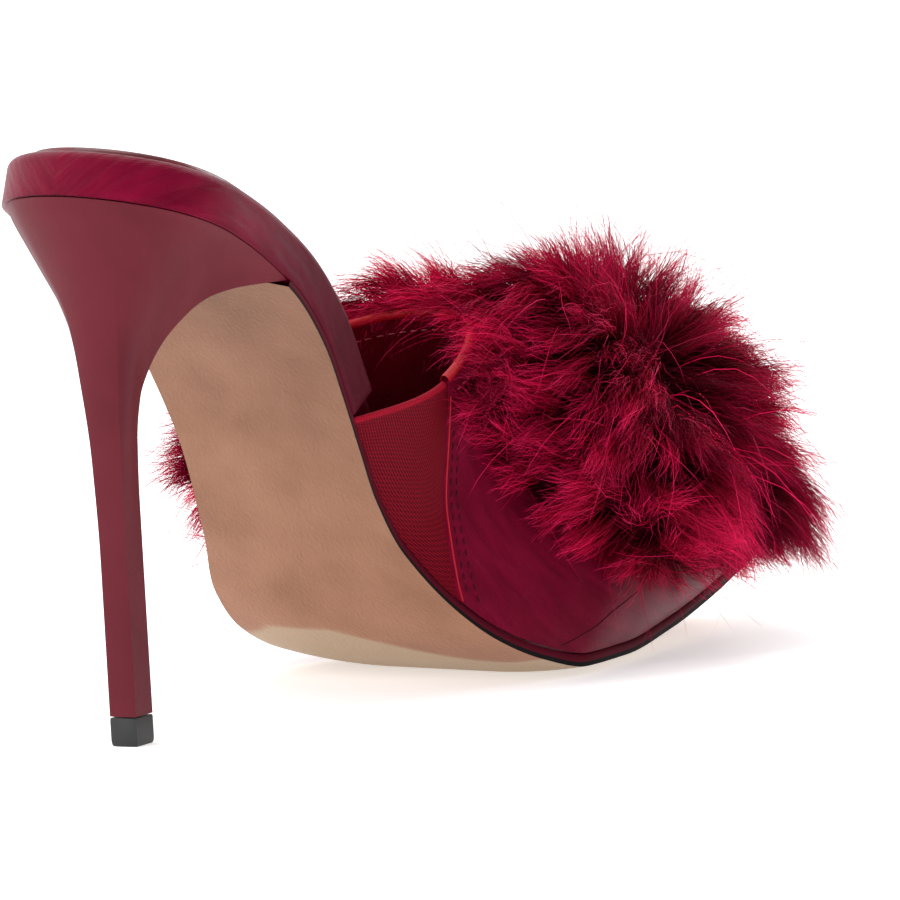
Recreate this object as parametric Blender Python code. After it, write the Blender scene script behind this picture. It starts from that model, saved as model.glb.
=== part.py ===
"""A left marabou slipper: a high stiletto mule with a hollow pointed satin upper, open behind.

Metres, +Z up, +Y towards the toe, +X towards the wearer's right (the inner, arch side).
The origin is the middle of the top piece's face on the floor. The shapes are worked out with
Y = 0 at the back of the seat, and an empty carries them to the origin.
"""
import bpy
import bmesh
import math
import numpy as np
from mathutils import Vector

# Lengths and heights of the last
SPAN = 0.240                # back of the seat to the toe tip, level
SEAT_HEIGHT = 0.1148        # underside of the sole line at the back
TOE_SPRING = 0.0130         # underside of the sole line at the toe tip
SEAT_WIDTH = 0.0530
BALL_WIDTH = 0.0740
SEAT_ROUND = 0.0267         # length over which the seat's back is rounded
TOE_ROUND = 0.0085          # length over which the toe's tip is rounded
INSTEP_HEIGHT = 0.0575      # upper's height over the sole at the throat

RIDGE_MERGE = 0.06          # share of the last over which the crown line meets the toe's tip
FLANK_RISE = 0.42           # height at which the upper's sides swell most

# Thicknesses and clearances
MERGE = 1e-6                # points this close are one
WAIST_EDGE = 0.0014         # outsole at the waist
TREAD_EDGE = 0.0026         # outsole's edge at the tread
CROWN = 0.0020              # rise of the outsole's edges over its middle
FOOTBED = 0.0098            # satin-wrapped board behind the upper
FOOTBED_INSIDE = 0.0048     # the same board inside the upper
SOCK = 0.0010
SOCK_MARGIN = 0.0045        # board left bare around the sock
BOARD_END = 0.965           # share of the last that the board and the sock reach
EDGE_ROUND = 0.0024         # rounding of the board's upper edge
EDGE_ROUND_INSIDE = 0.0012
WALL = 0.0018               # satin, stiffener and lining
GORE_WALL = 0.0012
GAP = 0.0003                # between pieces that touch
SEAM_GAP = 0.0004           # between the gore and the upper's folded edge
GORE_STEP = 0.0003          # how far the gore lies below the upper's face

# The heel
BREAST = 0.0465             # back of the seat to the heel's front edge
BREAST_HOLLOW = 0.0040      # how far the heel's front edge curves back in the middle
HEEL_INSET = 0.0007
SHAFT_WIDTH = 0.0062
SHAFT_DEPTH = 0.0071
SHAFT_FOOT = 0.0194         # back of the seat to the middle of the top piece
SHAFT_RAKE = 0.0026         # how far the shaft leans back at the seat
SHAFT_TURN = math.radians(8)
TOP_PIECE = 0.0060
BACK_FACE = math.radians(34)  # half of the seat's arc that runs into the shaft's back face
BACK_SWELL = 0.10           # roundness of the back face, a share of SHAFT_DEPTH

# The marabou
LOCK_LENGTH = 0.0085
LOCK_DROOP = 0.0040
LOCK_WIDTH = 0.80           # a lock's root as a share of the face that it grows from
FLUFF_GAP = 0.0004
FLUFF_SKIRT = 0.0050        # thickness of the strips at their edges
CORE = 0.25                 # height in a section from which its feathers spread
EVEN_OUT = 2                # rounds of evening out between neighbouring puffs
FLUFF_FIRST = 0.385         # stations between which the strips are sewn on
FLUFF_LAST = 0.955
FLUFF_MEDIAL = 0.56         # how far around they reach on each side
FLUFF_LATERAL = -0.74

# Sole line. run and drop are shares of SPAN and SEAT_HEIGHT, spring of TOE_SPRING, crown of
# CROWN, tread of the way from WAIST_EDGE to TREAD_EDGE. The four sides are distances from the
# heel's middle line, each the sum of a share of SEAT_WIDTH and a share of BALL_WIDTH.
SOLE = {
    "columns": ("station", "run", "drop", "spring", "crown", "tread",
                "medial_seat", "medial_ball", "lateral_seat", "lateral_ball"),
    "rows": (
        (0.00, 0.000, 1.000, 0.00, 0.0, 0.0, 0.510, 0.000, 0.510, 0.000),
        (0.05, 0.057, 0.960, 0.00, 0.0, 0.0, 0.510, 0.000, 0.508, 0.000),
        (0.10, 0.114, 0.910, 0.00, 0.0, 0.0, 0.502, 0.000, 0.500, 0.000),
        (0.15, 0.166, 0.852, 0.00, 0.0, 0.0, 0.487, 0.000, 0.498, 0.000),
        (0.20, 0.213, 0.785, 0.00, 0.0, 0.0, 0.410, 0.040, 0.420, 0.056),
        (0.25, 0.255, 0.691, 0.00, 0.0, 0.0, 0.320, 0.087, 0.320, 0.132),
        (0.30, 0.290, 0.590, 0.00, 0.0, 0.0, 0.210, 0.137, 0.210, 0.216),
        (0.35, 0.322, 0.484, 0.00, 0.0, 0.1, 0.110, 0.184, 0.110, 0.298),
        (0.40, 0.353, 0.372, 0.00, 0.1, 0.2, 0.040, 0.217, 0.040, 0.381),
        (0.45, 0.386, 0.267, 0.00, 0.2, 0.4, 0.000, 0.259, 0.000, 0.460),
        (0.50, 0.423, 0.170, 0.00, 0.4, 0.6, 0.000, 0.311, 0.000, 0.526),
        (0.55, 0.469, 0.084, 0.00, 0.7, 0.8, 0.000, 0.373, 0.000, 0.553),
        (0.60, 0.522, 0.027, 0.00, 1.0, 1.0, 0.000, 0.422, 0.000, 0.554),
        (0.65, 0.580, 0.000, 0.00, 1.0, 1.0, 0.000, 0.450, 0.000, 0.524),
        (0.71, 0.654, 0.000, 0.00, 1.0, 1.0, 0.000, 0.421, 0.000, 0.447),
        (0.80, 0.761, 0.000, 0.18, 0.9, 1.0, 0.000, 0.350, 0.000, 0.311),
        (0.90, 0.881, 0.000, 0.54, 0.7, 0.9, 0.000, 0.262, 0.000, 0.137),
        (1.00, 1.000, 0.000, 1.00, 0.5, 0.8, 0.000, 0.165, 0.000, -0.045),
    ),
}

# Sections of the upper. height is a share of INSTEP_HEIGHT, lean the tilt of the section towards
# the toe in degrees, ridge the crown line's place and the two bulges how far the sides swell past
# the sole, all shares of BALL_WIDTH, and shoulder how square the section is.
UPPER = {
    "columns": ("station", "height", "lean", "ridge", "medial_bulge", "lateral_bulge", "shoulder"),
    "rows": (
        (0.30, 1.000, 58.0, 0.030, 0.200, 0.150, 0.62),
        (0.38, 1.000, 58.0, 0.030, 0.190, 0.130, 0.62),
        (0.50, 0.984, 49.5, 0.050, 0.120, 0.060, 0.60),
        (0.60, 0.861, 40.0, 0.080, 0.070, 0.040, 0.58),
        (0.70, 0.635, 34.0, 0.100, 0.060, 0.060, 0.60),
        (0.80, 0.430, 32.0, 0.115, 0.050, 0.055, 0.64),
        (0.90, 0.275, 30.0, 0.115, 0.035, 0.040, 0.68),
        (1.00, 0.125, 26.0, 0.105, 0.000, 0.000, 0.70),
    ),
}

# Edge of the throat and the seam that the gore is set in. around runs from 1 at the inner sole
# edge over 0 at the crown line to -1 at the outer sole edge.
GORE_TOP = 0.66
TOPLINE_FOOT = 0.327        # station at which the throat's edge leaves the sole
TOPLINE_LEAN = 0.40         # how far it leans towards the toe as it rises
TOPLINE = {
    "columns": ("around", "station"),
    "rows": ((-1.0, 0.327), (-0.66, 0.360), (0.0, 0.380), (0.66, 0.360), (1.0, 0.327)),
}
GORE_SEAM = {
    "columns": ("around", "station"),
    "rows": ((0.66, 0.366), (0.80, 0.425), (0.90, 0.470), (1.0, 0.511)),
}

# The heel's flare. Each share says how much of the way from the shaft to the seat's outline is
# left at that depth below the seat, at the back and at the front.
FLARE = {
    "columns": ("depth", "back", "front"),
    "rows": (
        (0.00, 1.00, 1.000),
        (0.01, 0.97, 0.690),
        (0.03, 0.92, 0.500),
        (0.08, 0.75, 0.320),
        (0.14, 0.54, 0.180),
        (0.19, 0.37, 0.105),
        (0.25, 0.24, 0.045),
        (0.35, 0.14, 0.010),
        (0.50, 0.04, 0.000),
        (0.70, 0.00, 0.000),
        (1.00, 0.00, 0.000),
    ),
}

# Puffs of the feather strips. lift over the upper and radius are shares of INSTEP_HEIGHT.
PUFFS = {
    "columns": ("station", "around", "lift", "radius"),
    "rows": (
        (0.43, -0.60, 0.02, 0.20),
        (0.42, -0.20, 0.05, 0.24),
        (0.42, 0.20, 0.06, 0.25),
        (0.52, -0.60, 0.05, 0.28),
        (0.50, -0.20, 0.14, 0.36),
        (0.50, 0.20, 0.20, 0.40),
        (0.52, 0.45, 0.08, 0.26),
        (0.63, -0.45, 0.14, 0.36),
        (0.63, 0.05, 0.26, 0.50),
        (0.64, 0.40, 0.16, 0.38),
        (0.77, 0.00, 0.40, 0.62),
        (0.80, 0.38, 0.20, 0.42),
        (0.80, -0.38, 0.16, 0.38),
        (0.90, 0.00, 0.16, 0.24),
    ),
}


def read(table, name, at):
    """Values of a table's column at any places, on a monotone cubic through its rows."""
    rows = np.array(table["rows"])
    x = rows[:, 0]
    y = rows[:, table["columns"].index(name)]
    steps = np.diff(x)
    slopes = np.diff(y) / steps
    tangents = np.zeros(len(x))
    inner = slopes[:-1] * slopes[1:] > 0
    mean = 2 * slopes[:-1] * slopes[1:] / np.where(inner, slopes[:-1] + slopes[1:], 1)
    tangents[1:-1] = np.where(inner, mean, 0)
    tangents[0] = slopes[0]
    tangents[-1] = slopes[-1]
    at = np.clip(np.asarray(at, float), x[0], x[-1])
    k = np.clip(np.searchsorted(x, at) - 1, 0, len(steps) - 1)
    t = (at - x[k]) / steps[k]
    rise = y[k + 1] - y[k]
    start = tangents[k] * steps[k]
    end = tangents[k + 1] * steps[k]
    return y[k] + start * t + (3 * rise - 2 * start - end) * t**2 + (start + end - 2 * rise) * t**3


def sole_line(station):
    """Y and Z of the sole line's underside, and its unit normal."""
    step = 1e-4
    places = np.stack([np.clip(station - step, 0, 1), np.clip(station + step, 0, 1), station])
    y = SPAN * read(SOLE, "run", places)
    z = SEAT_HEIGHT * read(SOLE, "drop", places) + TOE_SPRING * read(SOLE, "spring", places)
    along = np.hypot(y[1] - y[0], z[1] - z[0])
    return y[2], z[2], (z[0] - z[1]) / along, (y[1] - y[0]) / along


def station_at(y):
    """Station whose sole line has the given Y."""
    stations = np.linspace(0, 1, 801)
    return np.interp(y, SPAN * read(SOLE, "run", stations), stations)


def ends(station):
    """How far the sole's outline faces backwards and forwards there, as two shares."""
    y = SPAN * read(SOLE, "run", station)
    back = np.clip(1 - y / SEAT_ROUND, 0, 1)
    front = np.clip(1 - (SPAN - y) / TOE_ROUND, 0, 1)
    return back, front


def rounding(station):
    """Share of the full width left where the seat's back and the toe's tip are rounded."""
    back, front = ends(station)
    return np.sqrt(np.clip(1 - back**2, 0, 1) * np.clip(1 - front**2, 0, 1))


def outline(station, inset=0.0):
    """Station, middle and half width of the sole's outline, moved square to itself by inset."""
    medial = SEAT_WIDTH * read(SOLE, "medial_seat", station)
    medial = medial + BALL_WIDTH * read(SOLE, "medial_ball", station)
    lateral = SEAT_WIDTH * read(SOLE, "lateral_seat", station)
    lateral = lateral + BALL_WIDTH * read(SOLE, "lateral_ball", station)
    share = rounding(station)
    half = np.maximum((medial + lateral) / 2 - inset, 0) * share
    back, front = ends(station)
    y = SPAN * read(SOLE, "run", station) + inset * (back - front)
    return station_at(y), (medial - lateral) / 2, half


def outsole_thickness(station):
    """Outsole's thickness on its middle line, where the crown adds to its edge."""
    edge = WAIST_EDGE + (TREAD_EDGE - WAIST_EDGE) * read(SOLE, "tread", station)
    return edge + CROWN * read(SOLE, "crown", station)


def sole_point(station, share, height, inset=0.0):
    """Point over the sole: share runs from -1 at the outer edge to 1 at the inner edge."""
    station, share = np.broadcast_arrays(np.asarray(station, float), np.asarray(share, float))
    moved, middle, half = outline(station, inset)
    y, z, toward, upward = sole_line(moved)
    return np.stack([middle + share * half, y + toward * height, z + upward * height], axis=-1)


def board_level(station):
    """Height over the sole line on which the footbed and the upper sit."""
    return outsole_thickness(station) + GAP


def upper_point(station, around, inset=0.0):
    """Point of the upper's outer face, or of a face that lies inset inside it.

    Each half of a section is one cubic curve from the sole's edge to the crown line. The section
    stands on the sole and leans towards the toe.
    """
    station, around = np.broadcast_arrays(np.asarray(station, float), np.asarray(around, float))
    moved, middle, half = outline(station, inset)
    side = np.where(around >= 0, 1.0, -1.0)
    edge = middle + side * half
    bulge = np.where(around >= 0, read(UPPER, "medial_bulge", moved),
                     read(UPPER, "lateral_bulge", moved))
    flank = edge + side * bulge * BALL_WIDTH * rounding(station)
    narrow = np.clip((1 - station) / RIDGE_MERGE, 0, 1)
    ridge = middle + (read(UPPER, "ridge", moved) * BALL_WIDTH - middle) * narrow
    crest = ridge + read(UPPER, "shoulder", moved) * (flank - ridge)
    t = 1 - np.abs(around)
    first = (1 - t)**3
    second = 3 * (1 - t)**2 * t
    third = 3 * (1 - t) * t**2
    last = t**3
    x = first * edge + second * flank + third * crest + last * ridge
    height = read(UPPER, "height", moved) * INSTEP_HEIGHT - inset
    rise = (second * FLANK_RISE + third + last) * height
    lean = np.radians(read(UPPER, "lean", moved))
    y, z, toward, upward = sole_line(moved)
    level = board_level(moved)
    return np.stack([x, y + toward * level + rise * np.sin(lean),
                     z + upward * level + rise * np.cos(lean)], axis=-1)


def upper_normal(station, around):
    """Outward normal of the upper's outer face, from small steps along and around it."""
    step = 2e-3
    along = upper_point(station + step, around) - upper_point(station - step, around)
    across = upper_point(station, around + step) - upper_point(station, around - step)
    normal = np.cross(across, along)
    return normal / np.linalg.norm(normal, axis=-1, keepdims=True)


def finish_material(name, colour, roughness, metallic=0.0):
    """Plain material of one colour."""
    material = bpy.data.materials.new(name)
    material.use_nodes = True
    shader = material.node_tree.nodes["Principled BSDF"]
    shader.inputs["Base Color"].default_value = (*colour, 1)
    shader.inputs["Roughness"].default_value = roughness
    shader.inputs["Metallic"].default_value = metallic
    return material


def add_object(name, bm, material, sharp=35):
    """Make a smooth-shaded object of a bmesh, with its faces turned outwards."""
    bmesh.ops.remove_doubles(bm, verts=bm.verts, dist=MERGE)
    bmesh.ops.recalc_face_normals(bm, faces=bm.faces)
    mesh = bpy.data.meshes.new(name)
    bm.to_mesh(mesh)
    bm.free()
    mesh.shade_smooth()
    mesh.set_sharp_from_angle(angle=math.radians(sharp))
    mesh.materials.append(material)
    piece = bpy.data.objects.new(name, mesh)
    piece.parent = bpy.data.objects["back_of_seat"]
    bpy.context.collection.objects.link(piece)
    return piece


def rings_of_verts(bm, rings):
    """New vertices for rings of points."""
    return [[bm.verts.new(Vector(point)) for point in ring] for ring in rings]


def loft(bm, rings):
    """Skin over rings of equally many points. Returns its rings of vertices."""
    loops = rings_of_verts(bm, rings)
    count = len(loops[0])
    for first, second in zip(loops, loops[1:]):
        for k in range(count):
            after = (k + 1) % count
            bm.faces.new((first[k], first[after], second[after], second[k]))
    return loops


def shell(outer, inner, open_tip):
    """Closed wall between two grids of points. Without open_tip their last rows are drawn shut."""
    bm = bmesh.new()
    outside = rings_of_verts(bm, outer)
    inside = rings_of_verts(bm, inner)
    rows = len(outside)
    columns = len(outside[0])
    for i in range(rows - 1):
        for j in range(columns - 1):
            bm.faces.new((outside[i][j], outside[i][j + 1], outside[i + 1][j + 1], outside[i + 1][j]))
            bm.faces.new((inside[i][j], inside[i + 1][j], inside[i + 1][j + 1], inside[i][j + 1]))
    for i in (0, rows - 1) if open_tip else (0,):
        for j in range(columns - 1):
            bm.faces.new((outside[i][j], outside[i][j + 1], inside[i][j + 1], inside[i][j]))
    for j in (0, columns - 1):
        for i in range(rows - 1):
            bm.faces.new((outside[i][j], outside[i + 1][j], inside[i + 1][j], inside[i][j]))
    return bm


def along_last(first, last, count):
    """Stations from first to last, closer together where the seat and the toe are rounded."""
    stations = np.linspace(first, last, count)
    if first == 0:
        stations = np.concatenate([[0, 0.002, 0.007, 0.015, 0.026, 0.042, 0.062], stations[2:]])
    if last == 1:
        stations = np.concatenate([stations[:-1], [0.976, 0.986, 0.994, 0.998, 1]])
    return stations


def outsole(material):
    """Thin sole from the heel's front edge to the toe, its edges raised over a level middle."""
    shares = np.array([-1, -0.82, -0.62, -0.36, 0, 0.36, 0.62, 0.82, 1])
    lift = np.clip((np.abs(shares) - 0.36) / 0.64, 0, 1)**2
    start = station_at(BREAST + GAP)
    back = station_at(BREAST + GAP - BREAST_HOLLOW * (1 - shares**2)) - start
    bm = bmesh.new()
    rings = []
    for station in along_last(start, 1, 34):
        fade = np.clip(1 - (station - start) / 0.06, 0, 1)
        stations = station + back * fade
        rise = CROWN * read(SOLE, "crown", stations) * lift * rounding(stations)
        under = sole_point(stations, shares, rise)
        over = sole_point(stations, shares, outsole_thickness(stations))
        rings.append(np.concatenate([under, over[::-1]]))
    loops = loft(bm, rings)
    half = len(shares)
    for k in range(half - 1):
        bm.faces.new((loops[0][k], loops[0][k + 1], loops[0][-2 - k], loops[0][-1 - k]))
    return add_object("outsole", bm, material)


def board_inset(station):
    """How far the footbed's sides step in where the upper takes hold."""
    inside = np.clip((station - TOPLINE_FOOT + 0.005) / 0.003, 0, 1)
    toe = np.clip((station - 0.90) / 0.10, 0, 1)
    return inside * (WALL + 2 * GAP) + toe * 0.003


def board_top(station):
    """Height of the footbed's upper face over the sole line."""
    inside = np.clip((station - TOPLINE_FOOT) / 0.14, 0, 1)
    inside = inside**2 * (3 - 2 * inside)
    return board_level(station) + FOOTBED + (FOOTBED_INSIDE - FOOTBED) * inside


def board_stations():
    """Stations of the footbed's sections, with two at the step in its sides."""
    stations = along_last(0, BOARD_END, 38)
    step = np.array([TOPLINE_FOOT - 0.005, TOPLINE_FOOT - 0.002])
    return np.sort(np.concatenate([stations[np.abs(stations - step[0]) > 0.008], step]))


def footbed(material):
    """Satin-wrapped board, full width behind the upper and stepped in between its walls."""
    bm = bmesh.new()
    rings = []
    for station in board_stations():
        inset = board_inset(station)
        low = board_level(station)
        high = board_top(station)
        inside = np.clip((station - TOPLINE_FOOT) / 0.05, 0, 1)
        edge = EDGE_ROUND + (EDGE_ROUND_INSIDE - EDGE_ROUND) * inside
        leans = TOPLINE_LEAN * np.clip(1 - abs(station - TOPLINE_FOOT) / 0.05, 0, 1) / sole_length()
        ring = [(-1, low, inset), (-0.5, low, inset), (0, low, inset), (0.5, low, inset),
                (1, low, inset), (1, high - edge, inset), (1, high - 0.3 * edge, inset + 0.3 * edge),
                (1, high, inset + edge), (0.5, high, inset + edge), (0, high, inset + edge),
                (-0.5, high, inset + edge), (-1, high, inset + edge),
                (-1, high - 0.3 * edge, inset + 0.3 * edge), (-1, high - edge, inset)]
        share, height, inward = np.array(ring).T
        places = station + leans * (height - low)
        rings.append(sole_point(places, share, height, inward))
    loops = loft(bm, rings)
    for loop in (loops[0], loops[-1]):
        for low, high in (((0, 1, 12, 13), (1, 2, 11, 12)), ((2, 3, 8, 9, 10, 11), (3, 4, 5, 6, 7, 8))):
            bm.faces.new([loop[k] for k in low])
            bm.faces.new([loop[k] for k in high])
    return add_object("footbed", bm, material)


def sock(material):
    """Thin lining on the footbed, with a bare margin around it."""
    bm = bmesh.new()
    rings = []
    shares = np.array([-1, -0.5, 0, 0.5, 1])
    for station in board_stations():
        inset = board_inset(station) + SOCK_MARGIN
        low = board_top(station) + GAP
        under = sole_point(station, shares, low, inset)
        over = sole_point(station, shares, low + SOCK, inset)
        rings.append(np.concatenate([under, over[::-1]]))
    loops = loft(bm, rings)
    bm.faces.new(loops[-1])
    return add_object("sock", bm, material)


def shaft_corner(z, right, forward):
    """Point of the shaft's section at a height, right and forward running from -1 to 1."""
    width = SHAFT_WIDTH / 2 * right
    depth = SHAFT_DEPTH / 2 * forward
    turn = np.array([math.cos(SHAFT_TURN), math.sin(SHAFT_TURN)])
    middle = SHAFT_FOOT - SHAFT_RAKE * z / SEAT_HEIGHT
    return np.stack([width * turn[0] - depth * turn[1],
                     middle + width * turn[1] + depth * turn[0], 0 * width + z], axis=-1)


def heel_outline():
    """The heel's outline at the seat and on the shaft, from the inner front corner around the back.

    Each row is a station, a share across, and the place right and forward on the shaft.
    """
    across = np.array([1, 0.72, 0.4, 0])
    face_y = SEAT_ROUND * (1 - np.cos(BACK_FACE * across))
    round_y = SEAT_ROUND * (1 - np.cos(np.radians([90, 76, 62, 48])))
    side_y = np.concatenate([np.linspace(BREAST, SEAT_ROUND, 5)[:-1], round_y])
    forward = 2 * (side_y - face_y[0]) / (BREAST - face_y[0]) - 1
    side = [(y, 1, 1, f) for y, f in zip(side_y, forward)]
    face = [(y, 1, a, -1 - BACK_SWELL * (1 - a * a)) for y, a in zip(face_y, across)]
    half = side + face
    other = [(y, -share, -right, forward) for y, share, right, forward in half[-2::-1]]
    front = [(BREAST - BREAST_HOLLOW * (1 - a * a), a, a, 1) for a in (-0.66, -0.33, 0, 0.33, 0.66)]
    return np.array(half + other + front), len(half)


def heel(material):
    """Stiletto: the seat's outline drawn in quickly to a slim four-sided shaft, leaning back."""
    ring, half = heel_outline()
    y, share, right, forward = ring.T
    station = station_at(y)
    seat = sole_point(station, share, outsole_thickness(station), HEEL_INSET)
    frontness = np.clip((y - SEAT_ROUND * 0.3) / (BREAST - SEAT_ROUND * 0.3), 0, 1)
    bottom = TOP_PIECE + GAP
    bm = bmesh.new()
    rings = []
    for depth in (0, 0.01, 0.03, 0.08, 0.14, 0.19, 0.25, 0.35, 0.5, 0.7, 1):
        z = seat[:, 2] + (bottom - seat[:, 2]) * depth
        flare = read(FLARE, "back", depth) * (1 - frontness) + read(FLARE, "front", depth) * frontness
        shaft = shaft_corner(z, right, forward)
        level = shaft[:, :2] + (seat[:, :2] - shaft[:, :2]) * flare[:, None]
        rings.append(np.column_stack([level, z]))
    loops = loft(bm, rings)
    top = loops[0]
    count = len(top)
    last = 2 * half - 2
    bm.faces.new([top[k] for k in (0, 1, last - 1)] + top[last:])
    for k in range(1, half - 2):
        bm.faces.new((top[k], top[k + 1], top[last - k - 1], top[last - k]))
    bm.faces.new((top[half - 2], top[half - 1], top[half]))
    bm.faces.new(loops[-1])
    return add_object("heel", bm, material, sharp=28)


def top_piece(material):
    """Hard-wearing block under the shaft, flat on the floor."""
    ring = heel_outline()[0]
    keep = [k for k in range(len(ring)) if k % 2 == 0]
    right, forward = ring[keep, 2], ring[keep, 3]
    bm = bmesh.new()
    rings = [shaft_corner(np.full(len(keep), z), right * grow, forward * grow)
             for z, grow in ((0, 0.94), (0.0008, 1), (TOP_PIECE, 1))]
    loops = loft(bm, rings)
    bm.faces.new(loops[0])
    bm.faces.new(loops[-1])
    return add_object("top_piece", bm, material, sharp=28)


def throat_edge(around):
    """Station of the upper's rear edge: the gore's seam low on the inner side, or the throat."""
    return np.where(around >= GORE_TOP - MERGE, read(GORE_SEAM, "station", around),
                    read(TOPLINE, "station", around))


def grid(around, first, last, shares, inset):
    """Grid of points on the upper, rows along it and columns around it."""
    stations = first + (last - first) * np.asarray(shares)[:, None]
    return upper_point(stations, np.broadcast_to(around, stations.shape), inset)


def vamp(material):
    """Hollow satin upper, closed and pointed at the toe, open behind and underneath."""
    inner = [1, 0.93, 0.86, 0.79, 0.725, GORE_TOP, 0.55, 0.44, 0.33, 0.22, 0.11, 0]
    around = np.array(inner + [-a for a in inner[-2::-1]])
    shares = np.concatenate([np.linspace(0, 0.93, 17), [0.955, 0.975, 0.988, 0.996, 1]])
    first = throat_edge(around)
    outer = grid(around, first, 1, shares, 0.0)
    lining = grid(around, first, 1, shares, WALL)
    return add_object("vamp", shell(outer, lining, False), material)


def gore_medial(material):
    """Elastic panel between the throat's edge, the sole and the upper's seam on the inner side."""
    around = np.linspace(GORE_TOP + 0.012, 1, 9)
    first = read(TOPLINE, "station", around)
    last = read(GORE_SEAM, "station", around) - SEAM_GAP / sole_length()
    shares = np.linspace(0, 1, 7)
    outer = grid(around, first, last, shares, GORE_STEP)
    lining = grid(around, first, last, shares, GORE_STEP + GORE_WALL)
    return add_object("gore_medial", shell(outer, lining, True), material)


def fluff_wall(stations, columns):
    """Inner and outer faces of the feather strips.

    Each point of the upper is moved away from the middle of its section, as far as the last of
    the puffs that its ray leaves. The thickness is then evened out between neighbours.
    """
    seat = upper_point(stations, columns, -FLUFF_GAP)
    crown = upper_point(stations, np.zeros(stations.shape))
    foot = sole_point(stations, 0, board_level(stations))
    ray = seat - (foot + (crown - foot) * CORE)
    reach = np.linalg.norm(ray, axis=-1)
    ray = ray / reach[..., None]
    thickness = np.full(stations.shape, FLUFF_SKIRT)
    for station, around, lift, radius in PUFFS["rows"]:
        normal = upper_normal(np.array(station), np.array(around))
        toward = upper_point(station, around) + normal * lift * INSTEP_HEIGHT - seat
        depth = (toward * ray).sum(-1)
        off = (toward * toward).sum(-1) - depth**2
        half = (radius * INSTEP_HEIGHT)**2 - off
        leaves = np.where(half > 0, depth + np.sqrt(np.maximum(half, 0)), 0)
        thickness = np.maximum(thickness, leaves)
    for _ in range(EVEN_OUT):
        around_it = np.pad(thickness, 1, mode="edge")
        thickness = (around_it[1:-1, 1:-1] * 2 + around_it[:-2, 1:-1] + around_it[2:, 1:-1]
                     + around_it[1:-1, :-2] + around_it[1:-1, 2:]) / 6
    return seat, seat + ray * thickness[..., None]


def draw_lock(bm, face):
    """Pull a tapered lock out of a face: two steps outwards, the tip drooping."""
    out = face.normal.copy()
    bmesh.ops.inset_individual(bm, faces=[face], thickness=0.0)
    for share, width, droop in ((0.45, LOCK_WIDTH, 0.15), (0.55, 0.45, 0.85)):
        middle = face.calc_center_median()
        for vert in face.verts:
            vert.co = middle + (vert.co - middle) * width
        if share < 0.5:
            bmesh.ops.translate(bm, vec=out * LOCK_LENGTH * 0.02, verts=face.verts)
        made = bmesh.ops.extrude_discrete_faces(bm, faces=[face])
        face = made["faces"][0]
        step = out * LOCK_LENGTH * share - Vector((0, 0, LOCK_DROOP * droop))
        bmesh.ops.translate(bm, vec=step, verts=face.verts)
    middle = face.calc_center_median()
    for vert in face.verts:
        vert.co = middle + (vert.co - middle) * 0.5


def marabou(material):
    """Feather strips sewn over the upper: one swelling wall with locks drawn out of it."""
    shares = np.linspace(0, 1, 25)
    around = np.linspace(FLUFF_MEDIAL, FLUFF_LATERAL, 23)
    stations = FLUFF_FIRST + (FLUFF_LAST - FLUFF_FIRST) * shares[:, None]
    stations = np.broadcast_to(stations, (len(shares), len(around)))
    columns = np.broadcast_to(around, stations.shape)
    seat, outer = fluff_wall(stations, columns)
    bm = shell(outer, seat, True)
    bmesh.ops.recalc_face_normals(bm, faces=bm.faces)
    bm.faces.ensure_lookup_table()
    rows = len(shares) - 1
    wide = len(around) - 1
    picked = [bm.faces[2 * (i * wide + j)] for i in range(0, rows, 2) for j in range(i // 2 % 2, wide, 2)]
    for face in picked:
        draw_lock(bm, face)
    return add_object("marabou", bm, material, sharp=180)


def sole_length():
    """Length of the sole line along its curve."""
    y, z = sole_line(np.linspace(0, 1, 201))[:2]
    return float(np.hypot(np.diff(y), np.diff(z)).sum())


for old in list(bpy.data.objects):
    bpy.data.objects.remove(old)

back_of_seat = bpy.data.objects.new("back_of_seat", None)
back_of_seat.location = (0, -SHAFT_FOOT, 0)
bpy.context.collection.objects.link(back_of_seat)

outsole(finish_material("tan leather", (0.42, 0.24, 0.14), 0.55))
footbed(finish_material("satin wrap", (0.20, 0.008, 0.035), 0.35))
sock(finish_material("lining", (0.16, 0.006, 0.02), 0.45))
heel(finish_material("matte heel cover", (0.18, 0.04, 0.05), 0.5))
top_piece(finish_material("hard rubber", (0.02, 0.02, 0.02), 0.6))
vamp(finish_material("satin", (0.14, 0.006, 0.03), 0.4))
gore_medial(finish_material("elastic", (0.25, 0.012, 0.03), 0.7))
marabou(finish_material("feather", (0.2, 0.01, 0.06), 0.9))
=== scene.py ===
"""The marabou slipper dressed: satin, leather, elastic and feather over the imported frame."""
import math
import bpy
import bmesh
import numpy as np
from mathutils import Matrix, Vector


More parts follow.
